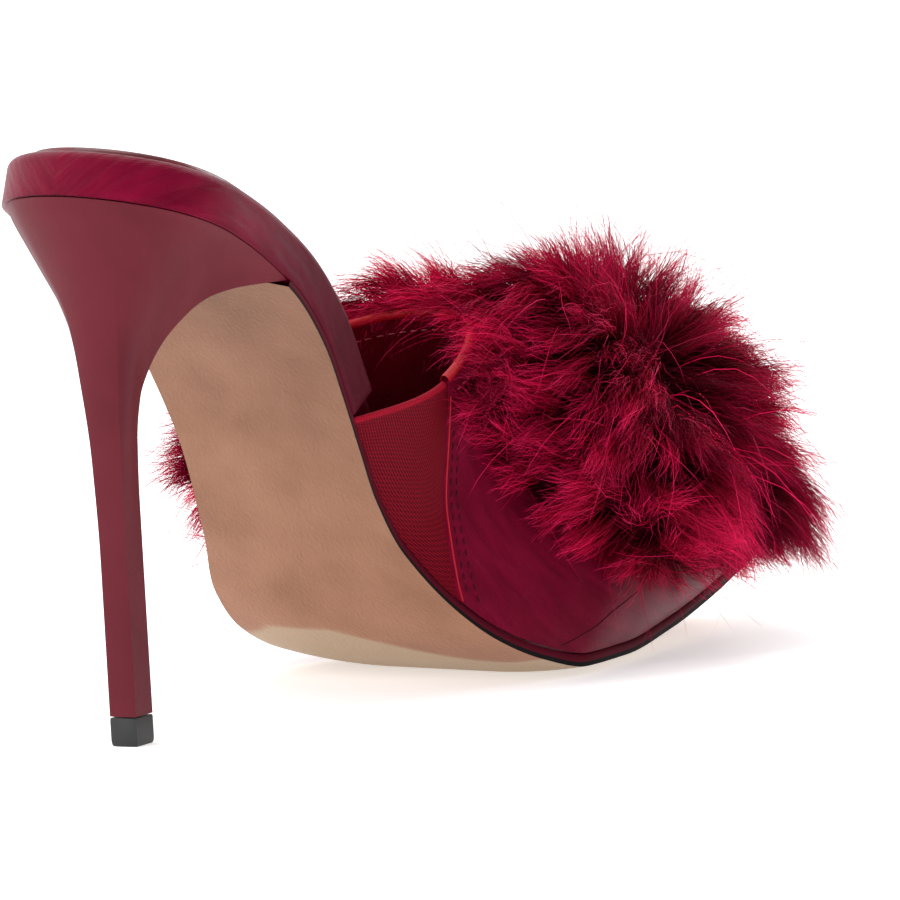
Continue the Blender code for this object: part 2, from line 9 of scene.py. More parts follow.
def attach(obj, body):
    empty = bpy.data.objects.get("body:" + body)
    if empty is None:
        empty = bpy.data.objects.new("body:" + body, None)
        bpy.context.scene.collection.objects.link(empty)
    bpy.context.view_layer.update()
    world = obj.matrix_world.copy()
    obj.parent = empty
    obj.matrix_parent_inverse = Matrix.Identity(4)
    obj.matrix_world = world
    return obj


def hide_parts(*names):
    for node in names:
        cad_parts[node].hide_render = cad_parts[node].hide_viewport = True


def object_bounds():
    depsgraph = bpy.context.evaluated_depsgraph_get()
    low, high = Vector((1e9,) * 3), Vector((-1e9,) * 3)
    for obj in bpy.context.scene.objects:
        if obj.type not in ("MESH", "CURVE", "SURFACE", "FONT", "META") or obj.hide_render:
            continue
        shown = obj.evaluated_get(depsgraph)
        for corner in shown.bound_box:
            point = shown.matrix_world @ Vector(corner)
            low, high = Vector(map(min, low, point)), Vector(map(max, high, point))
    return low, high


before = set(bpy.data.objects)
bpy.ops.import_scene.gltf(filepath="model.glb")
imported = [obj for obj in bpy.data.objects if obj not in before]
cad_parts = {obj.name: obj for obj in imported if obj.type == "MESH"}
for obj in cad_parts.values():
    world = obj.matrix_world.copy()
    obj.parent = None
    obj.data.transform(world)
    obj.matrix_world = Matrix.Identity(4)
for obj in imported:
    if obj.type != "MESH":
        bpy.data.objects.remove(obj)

cad_box = [list(corner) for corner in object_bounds()]

# The view: a long lens behind the inner side of the shoe, a little above the floor and rolled a
# touch, as a product photographer sets it up.
VIEW_TURN = math.radians(35.35)
VIEW_RISE = math.radians(6.11)
VIEW_ROLL = math.radians(-2.42)
VIEW_DISTANCE = 1.853
VIEW_TARGET = np.array([0.0232, 0.0856, 0.0527])
LENS = 346.6
back = np.array([math.sin(VIEW_TURN) * math.cos(VIEW_RISE),
                 -math.cos(VIEW_TURN) * math.cos(VIEW_RISE), math.sin(VIEW_RISE)])
level = np.array([math.cos(VIEW_TURN), math.sin(VIEW_TURN), 0])
upward = np.cross(back, level)
right = level * math.cos(VIEW_ROLL) + upward * math.sin(VIEW_ROLL)
up = -level * math.sin(VIEW_ROLL) + upward * math.cos(VIEW_ROLL)
camera = bpy.data.objects.new("camera", bpy.data.cameras.new("camera"))
camera.data.lens = LENS
camera.data.sensor_width = 36
camera.data.clip_end = 20
placed = Matrix(np.column_stack([right, up, back]).tolist()).to_4x4()
placed.translation = Vector(VIEW_TARGET + back * VIEW_DISTANCE)
camera.matrix_world = placed
bpy.context.collection.objects.link(camera)
bpy.context.scene.camera = camera
bpy.context.scene.view_settings.view_transform = "Standard"

# The studio: a white sweep under and behind the shoe, with soft boxes overhead, past the toe,
# behind the heel and behind the camera, in a white room that darkens towards the inner side.
FLOOR_SIZE = 12
FLOOR_CORNERS = ((-1, -1), (1, -1), (1, 1), (-1, 1))
FLOOR_WHITE = (0.93, 0.93, 0.93)
FLOOR_GLOW = 0.46
ROOM_LIGHT = 1.0
ROOM_EDGE = 0.7
LIGHT_SIDE = 1.25
DARK_SIDE = 0.46


def shader_of(material):
    """The material's Principled shader."""
    return material.node_tree.nodes["Principled BSDF"]


def finish(name, colour, roughness):
    """New material with one colour and roughness, to be built on."""
    material = bpy.data.materials.new(name)
    material.use_nodes = True
    shader = shader_of(material)
    shader.inputs["Base Color"].default_value = (*colour, 1)
    shader.inputs["Roughness"].default_value = roughness
    return material


def softbox(name, place, aim, size, power, colour=(1, 1, 1)):
    """Square soft light at a place, turned to face another."""
    light = bpy.data.lights.new(name, "AREA")
    light.shape = "RECTANGLE"
    light.size, light.size_y = size
    light.energy = power
    light.color = colour
    lamp = bpy.data.objects.new(name, light)
    lamp.location = place
    lamp.rotation_euler = (Vector(aim) - Vector(place)).to_track_quat("-Z", "Y").to_euler()
    bpy.context.collection.objects.link(lamp)


world = bpy.data.worlds.new("white room")
world.use_nodes = True
towards = world.node_tree.nodes.new("ShaderNodeTexCoord").outputs["Generated"]
split = world.node_tree.nodes.new("ShaderNodeSeparateXYZ")
side_light = world.node_tree.nodes.new("ShaderNodeMapRange")
side_light.inputs["From Min"].default_value = -ROOM_EDGE
side_light.inputs["From Max"].default_value = ROOM_EDGE
side_light.inputs["To Min"].default_value = LIGHT_SIDE
side_light.inputs["To Max"].default_value = DARK_SIDE
world.node_tree.links.new(towards, split.inputs[0])
world.node_tree.links.new(split.outputs["X"], side_light.inputs["Value"])
world.node_tree.links.new(side_light.outputs[0], world.node_tree.nodes["Background"].inputs["Color"])
world.node_tree.nodes["Background"].inputs["Strength"].default_value = ROOM_LIGHT
bpy.context.scene.world = world
softbox("overhead soft box", (-0.25, 0.15, 1.3), (0, 0.1, 0), (1.1, 0.9), 7)
softbox("toe soft box", (0.4, 1.3, 0.9), (0, 0.15, 0.05), (0.9, 0.7), 7)
softbox("heel soft box", (-0.3, -1.4, 0.32), (0, 0, 0.1), (0.35, 0.6), 2.5)
softbox("rear soft box", (-0.7, -1.1, 1.0), (0, 0.0, 0.08), (0.7, 0.9), 4)

floor_mesh = bpy.data.meshes.new("floor")
places = [(x * FLOOR_SIZE, y * FLOOR_SIZE, 0) for x, y in FLOOR_CORNERS]
floor_mesh.from_pydata(places, [], [(0, 1, 2, 3)])
floor = bpy.data.objects.new("floor", floor_mesh)
sweep = finish("white sweep", FLOOR_WHITE, 0.9)
shader_of(sweep).inputs["Specular IOR Level"].default_value = 0.0
shader_of(sweep).inputs["Emission Color"].default_value = (1, 1, 1, 1)
shader_of(sweep).inputs["Emission Strength"].default_value = FLOOR_GLOW
floor.data.materials.append(sweep)
bpy.context.collection.objects.link(floor)

# The footbed: insole board and foam, wrapped in burgundy duchess satin that is pulled round the
# edge and glued underneath. It shows as a broad glossy band around the seat and the waist.
SPAN = 0.240
SEAT_HEIGHT = 0.1148
TOE_SPRING = 0.0130
SEAT_WIDTH = 0.0530
BALL_WIDTH = 0.0740
SEAT_ROUND = 0.0267
TOE_ROUND = 0.0085
WAIST_EDGE = 0.0014
TREAD_EDGE = 0.0026
CROWN = 0.0020
FOOTBED = 0.0098
FOOTBED_INSIDE = 0.0048
WALL = 0.0018
GAP = 0.0003
BOARD_END = 0.965
EDGE_ROUND = 0.0024
EDGE_ROUND_INSIDE = 0.0012
TOPLINE_FOOT = 0.327
STEP_AHEAD = 0.005
STEP_RUN = 0.003
STEP_DOWN = 0.14
ROUND_RUN = 0.05
TOE_FROM = 0.90
TOE_RUN = 0.10
TOE_DRAW = 0.003
SEAT_CROWD = 0.09
TOE_CROWD = 0.05
BAND_ROWS = 220
SEAT_PAINTED_LIGHT = 1.25
WAIST_PAINTED_SHADE = 0.80
PAINTED_SHADE_FROM = 0.04
PAINTED_SHADE_RUN = 0.22
SHAFT_FOOT = 0.0194
SATIN_DEEP = (0.088, 0.0012, 0.011)
SATIN_MID = (0.125, 0.0018, 0.016)
SATIN_LIT = (0.175, 0.003, 0.024)
SATIN_TINT = (1.0, 0.10, 0.22, 1)
SATIN_ROUGH = 0.34
FOLD_SIZE = 0.022
FOLD_TURN = math.radians(38)
PATCH_SIZE = 0.009
THREAD = 0.00034
THREAD_DEPTH = 0.00003
WARP_TURN = math.radians(28)
WEFT_TURN = math.radians(118)
SOLE = {
    "columns": ("station", "run", "drop", "spring", "crown", "tread",
                "medial_seat", "medial_ball", "lateral_seat", "lateral_ball"),
    "rows": (
        (0.00, 0.000, 1.000, 0.00, 0.0, 0.0, 0.510, 0.000, 0.510, 0.000),
        (0.05, 0.057, 0.960, 0.00, 0.0, 0.0, 0.510, 0.000, 0.508, 0.000),
        (0.10, 0.114, 0.910, 0.00, 0.0, 0.0, 0.502, 0.000, 0.500, 0.000),
        (0.15, 0.166, 0.852, 0.00, 0.0, 0.0, 0.487, 0.000, 0.498, 0.000),
        (0.20, 0.213, 0.785, 0.00, 0.0, 0.0, 0.410, 0.040, 0.420, 0.056),
        (0.25, 0.255, 0.691, 0.00, 0.0, 0.0, 0.320, 0.087, 0.320, 0.132),
        (0.30, 0.290, 0.590, 0.00, 0.0, 0.0, 0.210, 0.137, 0.210, 0.216),
        (0.35, 0.322, 0.484, 0.00, 0.0, 0.1, 0.110, 0.184, 0.110, 0.298),
        (0.40, 0.353, 0.372, 0.00, 0.1, 0.2, 0.040, 0.217, 0.040, 0.381),
        (0.45, 0.386, 0.267, 0.00, 0.2, 0.4, 0.000, 0.259, 0.000, 0.460),
        (0.50, 0.423, 0.170, 0.00, 0.4, 0.6, 0.000, 0.311, 0.000, 0.526),
        (0.55, 0.469, 0.084, 0.00, 0.7, 0.8, 0.000, 0.373, 0.000, 0.553),
        (0.60, 0.522, 0.027, 0.00, 1.0, 1.0, 0.000, 0.422, 0.000, 0.554),
        (0.65, 0.580, 0.000, 0.00, 1.0, 1.0, 0.000, 0.450, 0.000, 0.524),
        (0.71, 0.654, 0.000, 0.00, 1.0, 1.0, 0.000, 0.421, 0.000, 0.447),
        (0.80, 0.761, 0.000, 0.18, 0.9, 1.0, 0.000, 0.350, 0.000, 0.311),
        (0.90, 0.881, 0.000, 0.54, 0.7, 0.9, 0.000, 0.262, 0.000, 0.137),
        (1.00, 1.000, 0.000, 1.00, 0.5, 0.8, 0.000, 0.165, 0.000, -0.045),
    ),
}


def read(table, name, at):
    """Values of a table's column at any places, on a monotone cubic through its rows."""
    rows = np.array(table["rows"])
    x = rows[:, 0]
    y = rows[:, table["columns"].index(name)]
    steps = np.diff(x)
    slopes = np.diff(y) / steps
    tangents = np.zeros(len(x))
    inner = slopes[:-1] * slopes[1:] > 0
    mean = 2 * slopes[:-1] * slopes[1:] / np.where(inner, slopes[:-1] + slopes[1:], 1)
    tangents[1:-1] = np.where(inner, mean, 0)
    tangents[0] = slopes[0]
    tangents[-1] = slopes[-1]
    at = np.clip(np.asarray(at, float), x[0], x[-1])
    k = np.clip(np.searchsorted(x, at) - 1, 0, len(steps) - 1)
    t = (at - x[k]) / steps[k]
    rise = y[k + 1] - y[k]
    start = tangents[k] * steps[k]
    end = tangents[k + 1] * steps[k]
    return y[k] + start * t + (3 * rise - 2 * start - end) * t**2 + (start + end - 2 * rise) * t**3


def sole_line(station):
    """Y and Z of the sole line's underside, and its unit normal."""
    step = 1e-4
    places = np.stack([np.clip(station - step, 0, 1), np.clip(station + step, 0, 1), station])
    y = SPAN * read(SOLE, "run", places)
    z = SEAT_HEIGHT * read(SOLE, "drop", places) + TOE_SPRING * read(SOLE, "spring", places)
    along = np.hypot(y[1] - y[0], z[1] - z[0])
    return y[2], z[2], (z[0] - z[1]) / along, (y[1] - y[0]) / along


def station_at(y):
    """Station whose sole line has the given Y."""
    stations = np.linspace(0, 1, 801)
    return np.interp(y, SPAN * read(SOLE, "run", stations), stations)


def ends(station):
    """How far the sole's outline faces backwards and forwards there, as two shares."""
    y = SPAN * read(SOLE, "run", station)
    back = np.clip(1 - y / SEAT_ROUND, 0, 1)
    front = np.clip(1 - (SPAN - y) / TOE_ROUND, 0, 1)
    return back, front


def rounding(station):
    """Share of the full width left where the seat's back and the toe's tip are rounded."""
    back, front = ends(station)
    return np.sqrt(np.clip(1 - back**2, 0, 1) * np.clip(1 - front**2, 0, 1))


def outline(station, inset=0.0):
    """Station, middle and half width of the sole's outline, moved square to itself by inset."""
    medial = SEAT_WIDTH * read(SOLE, "medial_seat", station)
    medial = medial + BALL_WIDTH * read(SOLE, "medial_ball", station)
    lateral = SEAT_WIDTH * read(SOLE, "lateral_seat", station)
    lateral = lateral + BALL_WIDTH * read(SOLE, "lateral_ball", station)
    share = rounding(station)
    half = np.maximum((medial + lateral) / 2 - inset, 0) * share
    back, front = ends(station)
    y = SPAN * read(SOLE, "run", station) + inset * (back - front)
    return station_at(y), (medial - lateral) / 2, half


def outsole_thickness(station):
    """Outsole's thickness on its middle line, where the crown adds to its edge."""
    edge = WAIST_EDGE + (TREAD_EDGE - WAIST_EDGE) * read(SOLE, "tread", station)
    return edge + CROWN * read(SOLE, "crown", station)


def sole_point(station, share, height, inset=0.0):
    """Point over the sole: share runs from -1 at the outer edge to 1 at the inner edge."""
    station, share = np.broadcast_arrays(np.asarray(station, float), np.asarray(share, float))
    moved, middle, half = outline(station, inset)
    y, z, toward, upward = sole_line(moved)
    return np.stack([middle + share * half, y + toward * height, z + upward * height], axis=-1)


def board_level(station):
    """Height over the sole line on which the footbed and the upper sit."""
    return outsole_thickness(station) + GAP


def board_inset(station):
    """How far the footbed's sides step in where the upper takes hold."""
    inside = np.clip((station - TOPLINE_FOOT + STEP_AHEAD) / STEP_RUN, 0, 1)
    toe = np.clip((station - TOE_FROM) / TOE_RUN, 0, 1)
    return inside * (WALL + 2 * GAP) + toe * TOE_DRAW


def board_top(station):
    """Height of the footbed's upper face over the sole line."""
    inside = np.clip((station - TOPLINE_FOOT) / STEP_DOWN, 0, 1)
    inside = inside**2 * (3 - 2 * inside)
    return board_level(station) + FOOTBED + (FOOTBED_INSIDE - FOOTBED) * inside


def along_last(first, last, count):
    """Stations from first to last, crowding where the seat and the toe are rounded."""
    share = np.linspace(0, 1, count)
    stations = first + (last - first) * share
    if first == 0:
        stations = stations * np.clip(stations / SEAT_CROWD, 0, 1)
    if last == 1:
        stations = 1 - (1 - stations) * np.clip((1 - stations) / TOE_CROWD, 0, 1)
    return stations


def surface(name, points, material, marks=None, crease=180):
    """Smooth mesh through a grid of points.

    Its flat places, in metres for the weave or grain, are the lengths run along both ways of the
    grid. A mark is one more value at each point, for the material.
    """
    rows, columns = points.shape[:2]
    run = np.zeros((rows, columns, 2))
    run[1:, :, 0] = np.cumsum(np.linalg.norm(np.diff(points, axis=0), axis=-1), axis=0)
    run[:, 1:, 1] = np.cumsum(np.linalg.norm(np.diff(points, axis=1), axis=-1), axis=1)
    run[..., 1] -= run[:, columns // 2:columns // 2 + 1, 1]
    corner = np.arange(rows * columns).reshape(rows, columns)
    quads = np.stack([corner[:-1, :-1], corner[:-1, 1:], corner[1:, 1:], corner[1:, :-1]], axis=-1)
    quads = quads.reshape(-1, 4)
    mesh = bpy.data.meshes.new(name)
    mesh.from_pydata((points - (0, SHAFT_FOOT, 0)).reshape(-1, 3).tolist(), [], quads.tolist())
    mesh.uv_layers.new(name="flat").uv.foreach_set("vector", run.reshape(-1, 2)[quads].ravel())
    for mark, values in (marks or {}).items():
        made = mesh.attributes.new(mark, "FLOAT", "POINT")
        spread = np.broadcast_to(values, (rows, columns))
        made.data.foreach_set("value", spread.ravel().astype(np.float32))
    bm = bmesh.new()
    bm.from_mesh(mesh)
    bmesh.ops.remove_doubles(bm, verts=bm.verts, dist=1e-7)
    bmesh.ops.recalc_face_normals(bm, faces=bm.faces)
    for face in bm.faces:
        face.smooth = True
    bm.to_mesh(mesh)
    bm.free()
    mesh.set_sharp_from_angle(angle=math.radians(crease))
    mesh.materials.append(material)
    piece = bpy.data.objects.new(name, mesh)
    bpy.context.collection.objects.link(piece)
    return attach(piece, "root")


def add_node(material, kind, inputs, **settings):
    """New shader node, each of its inputs given a value or the socket it takes its value from."""
    made = material.node_tree.nodes.new("ShaderNode" + kind)
    for key, value in settings.items():
        setattr(made, key, value)
    for key, value in inputs.items():
        if isinstance(value, bpy.types.NodeSocket):
            material.node_tree.links.new(value, made.inputs[key])
        else:
            made.inputs[key].default_value = value
    return made


def flat_places(material, turn=0.0, stretch=(1, 1, 1)):
    """The piece's flat places in metres, turned and stretched."""
    flat = add_node(material, "UVMap", {}, uv_map="flat").outputs[0]
    turned = add_node(material, "Mapping", {"Vector": flat, "Rotation": (0, 0, turn), "Scale": stretch})
    return turned.outputs[0]


def stripes(material, turn, pitch, wander=0.0):
    """Even stripes across the flat places, one to each pitch in metres."""
    wave = add_node(material, "TexWave", {"Vector": flat_places(material, turn),
                                          "Scale": math.pi / 10 / pitch, "Distortion": wander})
    return wave.outputs["Fac"]


def clouds(material, places, size, detail=2.0):
    """Soft noise whose patches are about one size in metres across."""
    return add_node(material, "TexNoise", {"Vector": places, "Scale": 1 / size,
                                           "Detail": detail}).outputs["Fac"]


def shades(material, factor, stops):
    """Colours laid out along a factor from 0 to 1."""
    ramp = add_node(material, "ValToRGB", {"Fac": factor})
    while len(ramp.color_ramp.elements) < len(stops):
        ramp.color_ramp.elements.new(0.5)
    for element, (place, colour) in zip(ramp.color_ramp.elements, stops):
        element.position = place
        element.color = (*colour, 1)
    return ramp.outputs["Color"]


def relief(material, heights):
    """Bumps laid one over the other, each a height socket and its depth in metres."""
    normal = None
    for height, depth in heights:
        inputs = {"Height": height, "Distance": depth, "Strength": 1.0}
        if normal is not None:
            inputs["Normal"] = normal
        normal = add_node(material, "Bump", inputs).outputs["Normal"]
    link(material, normal, "Normal")


def link(material, socket, name):
    """Feed one input of the material's shader."""
    material.node_tree.links.new(socket, shader_of(material).inputs[name])


def satin(name, creases, gloss):
    """Burgundy duchess satin: fine slanting weave, soft folds, a tinted and stretched shine."""
    material = finish(name, SATIN_MID, SATIN_ROUGH)
    shader = shader_of(material)
    shader.inputs["Specular Tint"].default_value = SATIN_TINT
    shader.inputs["Specular IOR Level"].default_value = gloss
    folds = clouds(material, flat_places(material, FOLD_TURN, (1, 4.5, 1)), FOLD_SIZE)
    patches = clouds(material, flat_places(material), PATCH_SIZE, 4.0)
    # Painted shade and light: the colour follows the folds' noise, darker in their troughs and lighter
    # on their ridges, times random patches of tone.
    tone_and_painted_shading = add_node(material, "Math", {0: folds, 1: patches}, operation="MULTIPLY").outputs[0]
    cloth = shades(material, tone_and_painted_shading, ((0.10, SATIN_DEEP), (0.26, SATIN_MID), (0.55, SATIN_LIT)))
    # The piece's painted light mark scales the colour: brighter where light is painted, darker where
    # shade is.
    painted_light = add_node(material, "Attribute", {}, attribute_name="painted_light").outputs["Fac"]
    toned = add_node(material, "HueSaturation", {"Color": cloth, "Value": painted_light})
    link(material, toned.outputs["Color"], "Base Color")
    warp = stripes(material, WARP_TURN, THREAD)
    weft = stripes(material, WEFT_TURN, THREAD)
    relief(material, ((folds, creases), (warp, THREAD_DEPTH), (weft, THREAD_DEPTH)))
    return material


stations = along_last(0, BOARD_END, BAND_ROWS)[:, None]
low = board_level(stations)
high = board_top(stations)
taken = np.clip((stations - TOPLINE_FOOT) / ROUND_RUN, 0, 1)
edge = EDGE_ROUND + (EDGE_ROUND_INSIDE - EDGE_ROUND) * taken
turn = np.radians([0, 18, 36, 54, 72, 90])
over = np.linspace(1, 0, 9)
share = np.concatenate([np.linspace(0, 1, 5), np.ones(3), np.ones(6), over[1:]])
lift = np.concatenate([np.zeros(5), np.full(3, 0.0), np.sin(turn), np.ones(8)])
climb = np.concatenate([np.zeros(5), np.linspace(0.25, 0.75, 3), np.ones(14)])
inward = np.concatenate([np.zeros(8), 1 - np.cos(turn), np.ones(8)])
height = low + (high - edge - low) * climb + edge * lift
inset = board_inset(stations) + edge * inward
half = sole_point(stations, share, height, inset)
other = sole_point(stations, -share, height, inset)
# Painted light and shade: the band's satin is painted a quarter brighter at the seat, as its highlight,
# and darker along the waist.
painted_light = SEAT_PAINTED_LIGHT - WAIST_PAINTED_SHADE * np.clip((stations - PAINTED_SHADE_FROM) / PAINTED_SHADE_RUN, 0, 1)
band = surface("footbed", np.concatenate([half, other[:, -2::-1]], axis=1),
               satin("wrapped satin", 0.0012, 0.24), {"painted_light": painted_light})
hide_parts("footbed")

# The outsole: thin leather-look sheet in natural tan, its edge painted black, with a paler sanded
# patch where the ball treads. It is cemented under the board from the heel's front edge forward.
BREAST = 0.0465
BREAST_HOLLOW = 0.0040
BREAST_FADE = 0.06
SOLE_ROWS = 220
RIM_FROM = 0.36
FLAT_TO = 0.30
SANDED_FROM = 0.535
SANDED_TO = 0.86
TAN_DEEP = (0.24, 0.112, 0.064)
TAN_MID = (0.29, 0.138, 0.081)
TAN_LIT = (0.33, 0.162, 0.097)
EDGE_BLACK = (0.006, 0.005, 0.006)
SANDED = (0.38, 0.275, 0.185)
TAN_PATCH = 0.02
GRAIN = 0.0011
GRAIN_DEPTH = 0.00018
WRINKLE = 0.0013
WRINKLE_DEPTH = 0.0003


def leather(name):
    """Smooth tan sheet with a fine pebbled and wrinkled grain."""
    material = finish(name, TAN_MID, 0.5)
    shader_of(material).inputs["Specular IOR Level"].default_value = 0.18
    flat = flat_places(material)
    patches = clouds(material, flat, TAN_PATCH, 5.0)
    grain = clouds(material, flat, GRAIN, 3.0)
    wrinkles = clouds(material, flat_places(material, 1.2, (1, 1.7, 1)), WRINKLE, 2.0)
    colour = shades(material, patches, ((0.30, TAN_DEEP), (0.5, TAN_MID), (0.72, TAN_LIT)))
    worn = add_node(material, "Attribute", {}, attribute_name="worn").outputs["Fac"]
    mixed = add_node(material, "Mix", {0: worn, 6: colour, 7: (*SANDED, 1)}, data_type="RGBA")
    # The painted light mark darkens or brightens the tan as painted shade and light.
    painted_light = add_node(material, "Attribute", {}, attribute_name="painted_light").outputs["Fac"]
    toned = add_node(material, "HueSaturation", {"Color": mixed.outputs[2], "Value": painted_light})
    link(material, toned.outputs["Color"], "Base Color")
    relief(material, ((wrinkles, WRINKLE_DEPTH), (grain, GRAIN_DEPTH)))
    return material


start = float(station_at(BREAST + GAP))
shares = np.concatenate([np.linspace(-1, -RIM_FROM, 14), np.linspace(-FLAT_TO, FLAT_TO, 9),
                         np.linspace(RIM_FROM, 1, 14)])
lift = np.clip((np.abs(shares) - RIM_FROM) / (1 - RIM_FROM), 0, 1)**2
stations = along_last(start, 1, SOLE_ROWS)[:, None]
fade = np.clip(1 - (stations - start) / BREAST_FADE, 0, 1)
behind = station_at(BREAST + GAP - BREAST_HOLLOW * (1 - shares**2)) - start
stations = stations + behind * fade
rise = CROWN * read(SOLE, "crown", stations) * lift * rounding(stations)
under = sole_point(stations, shares, rise)
top = sole_point(stations, shares, outsole_thickness(stations))
turned = 0.06 * np.clip(shares + 0.2, 0, 1) + 0.08 * np.clip(-0.7 - shares, 0, 1)
worn = np.clip((stations - SANDED_FROM - turned) / 0.004, 0, 1)
worn = worn * np.clip((SANDED_TO - stations) / 0.02, 0, 1)
# Painted shade and light: the tan is painted a fifth darker at the back of the waist and a tenth
# brighter from the tread forward.
painted_light = 0.80 + 0.30 * np.clip((stations - 0.22) / 0.30, 0, 1)
tan = surface("tan_sole", under, leather("tan leather"), {"worn": worn, "painted_light": painted_light})
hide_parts("outsole")

edges = finish("edge paint", EDGE_BLACK, 0.6)
shader_of(edges).inputs["Specular IOR Level"].default_value = 0.08
upper_part = add_node(edges, "Attribute", {}, attribute_name="wrap").outputs["Fac"]
link(edges, shades(edges, upper_part, ((0.35, EDGE_BLACK), (0.40, SATIN_DEEP))), "Base Color")
middle = under + (top - under) * 0.5
over = np.concatenate([under[:, -1:], middle[:, -1:], top[:, ::-1], middle[:, :1], under[:, :1]],
                      axis=1)
wrap = np.concatenate([[0, 0.5], np.ones(len(shares)), [0.5, 0]])
painted = surface("painted_edge", over, edges, {"wrap": wrap})

# The sock: thin glossy lining cut to the footbed's shape and glued on it, a few millimetres in
# from its edge.
SOCK = 0.0010
SOCK_MARGIN = 0.0045
SOCK_ROWS = 160
LINING_DEEP = (0.085, 0.001, 0.006)
LINING = (0.17, 0.002, 0.012)
LINING_PATCH = 0.012
LINING_GRAIN = 0.0012
LINING_DEPTH = 0.00006
stations = along_last(0, BOARD_END, SOCK_ROWS)[:, None]
shares = np.linspace(-1, 1, 17)
inset = board_inset(stations) + SOCK_MARGIN
low = board_top(stations) + GAP
over = sole_point(stations, shares, low + SOCK, inset)
rim = sole_point(stations, shares[[0, -1]], low, inset)
lining = finish("glossy lining", LINING, 0.28)
shader_of(lining).inputs["Coat Weight"].default_value = 0.3
shader_of(lining).inputs["Coat Roughness"].default_value = 0.2
patches = clouds(lining, flat_places(lining), LINING_PATCH, 3.0)
link(lining, shades(lining, patches, ((0.3, LINING_DEEP), (0.65, LINING))), "Base Color")
relief(lining, ((clouds(lining, flat_places(lining), LINING_GRAIN), LINING_DEPTH),))
laid = surface("sock", np.concatenate([rim[:, :1], over, rim[:, 1:]], axis=1), lining)
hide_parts("sock")

# The heel: moulded plastic stiletto, its seat drawn in to a slim four-sided shaft, covered in
# matte plum leather-look with the seam hidden at the front.
SHAFT_WIDTH = 0.0062
SHAFT_DEPTH = 0.0071
SHAFT_RAKE = 0.0026
SHAFT_TURN = math.radians(8)
TOP_PIECE = 0.0060
BACK_FACE = math.radians(34)
BACK_SWELL = 0.10
HEEL_INSET = 0.0007
HEEL_ROWS = 90
HEEL_CROWD = 1.5
HEEL_CREASE = 24
HEEL_DEEP = (0.110, 0.011, 0.019)
HEEL_MID = (0.128, 0.014, 0.023)
COVER_PATCH = 0.02
COVER_GRAIN = 0.0008
COVER_DEPTH = 0.00004
FLARE = {
    "columns": ("depth", "back", "front"),
    "rows": (
        (0.00, 1.00, 1.000),
        (0.01, 0.97, 0.690),
        (0.03, 0.92, 0.500),
        (0.08, 0.75, 0.320),
        (0.14, 0.54, 0.180),
        (0.19, 0.37, 0.105),
        (0.25, 0.24, 0.045),
        (0.35, 0.14, 0.010),
        (0.50, 0.04, 0.000),
        (0.70, 0.00, 0.000),
        (1.00, 0.00, 0.000),
    ),
}


def shaft_corner(z, right, forward):
    """Point of the shaft's section at a height, right and forward running from -1 to 1."""
    z, right, forward = np.broadcast_arrays(z, right, forward)
    width = SHAFT_WIDTH / 2 * right
    depth = SHAFT_DEPTH / 2 * forward
    turn = np.array([math.cos(SHAFT_TURN), math.sin(SHAFT_TURN)])
    middle = SHAFT_FOOT - SHAFT_RAKE * z / SEAT_HEIGHT
    return np.stack([width * turn[0] - depth * turn[1],
                     middle + width * turn[1] + depth * turn[0], z], axis=-1)


def heel_ring():
    """The heel's outline all round: its Y at the seat, share across, and place on the shaft."""
    across = np.linspace(1, 0, 12)
    face_y = SEAT_ROUND * (1 - np.cos(BACK_FACE * across))
    round_y = SEAT_ROUND * (1 - np.cos(np.radians(np.linspace(90, 48, 10))))
    side_y = np.concatenate([np.linspace(BREAST, SEAT_ROUND, 10)[:-1], round_y])
    forward = 2 * (side_y - face_y[0]) / (BREAST - face_y[0]) - 1
    side = np.stack([side_y, np.ones(19), np.ones(19), forward], axis=-1)
    face = np.stack([face_y, np.ones(12), across, -1 - BACK_SWELL * (1 - across**2)], axis=-1)
    half = np.concatenate([side, face])
    other = half[-2::-1] * (1, -1, -1, 1)
    a = np.linspace(-1, 1, 15)[1:]
    front = np.stack([BREAST - BREAST_HOLLOW * (1 - a * a), a, a, np.ones(14)], axis=-1)
    return np.concatenate([half, other, front]).T


y, share, right, forward = heel_ring()
station = station_at(y)
seat = sole_point(station, share, outsole_thickness(station), HEEL_INSET)
frontness = np.clip((y - SEAT_ROUND * 0.3) / (BREAST - SEAT_ROUND * 0.3), 0, 1)
bottom = TOP_PIECE + GAP
depths = np.linspace(0, 1, HEEL_ROWS)[:, None]**HEEL_CROWD
z = seat[:, 2] + (bottom - seat[:, 2]) * depths
flare = read(FLARE, "back", depths) * (1 - frontness) + read(FLARE, "front", depths) * frontness
shaft = shaft_corner(z, right, forward)
level = shaft[..., :2] + (seat[:, :2] - shaft[..., :2]) * flare[..., None]
cover = finish("matte heel cover", HEEL_MID, 0.42)
shader_of(cover).inputs["Specular IOR Level"].default_value = 0.10
patches = clouds(cover, flat_places(cover), COVER_PATCH, 3.0)
link(cover, shades(cover, patches, ((0.30, HEEL_DEEP), (0.62, HEEL_MID))), "Base Color")
relief(cover, ((clouds(cover, flat_places(cover), COVER_GRAIN), COVER_DEPTH),))
tall = surface("heel", np.concatenate([level, z[..., None]], axis=-1), cover, crease=HEEL_CREASE)
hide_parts("heel")

# The top piece: hard black rubber block nailed under the heel's shaft, with a small bevel all
# round at its foot.
RUBBER_BLACK = (0.008, 0.008, 0.009)
rubber = finish("hard rubber", RUBBER_BLACK, 0.45)
relief(rubber, ((clouds(rubber, flat_places(rubber), 0.0006), 0.00005),))
grow = np.array([0.0, 0.90, 0.97, 1.0, 1.0, 0.97, 0.0])[:, None]
z = np.array([0.0, 0.0, 0.0004, 0.0012, TOP_PIECE - 0.0003, TOP_PIECE, TOP_PIECE])[:, None]
block = surface("top_piece", shaft_corner(z, right * grow, forward * grow), rubber, crease=HEEL_CREASE)
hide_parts("top_piece")

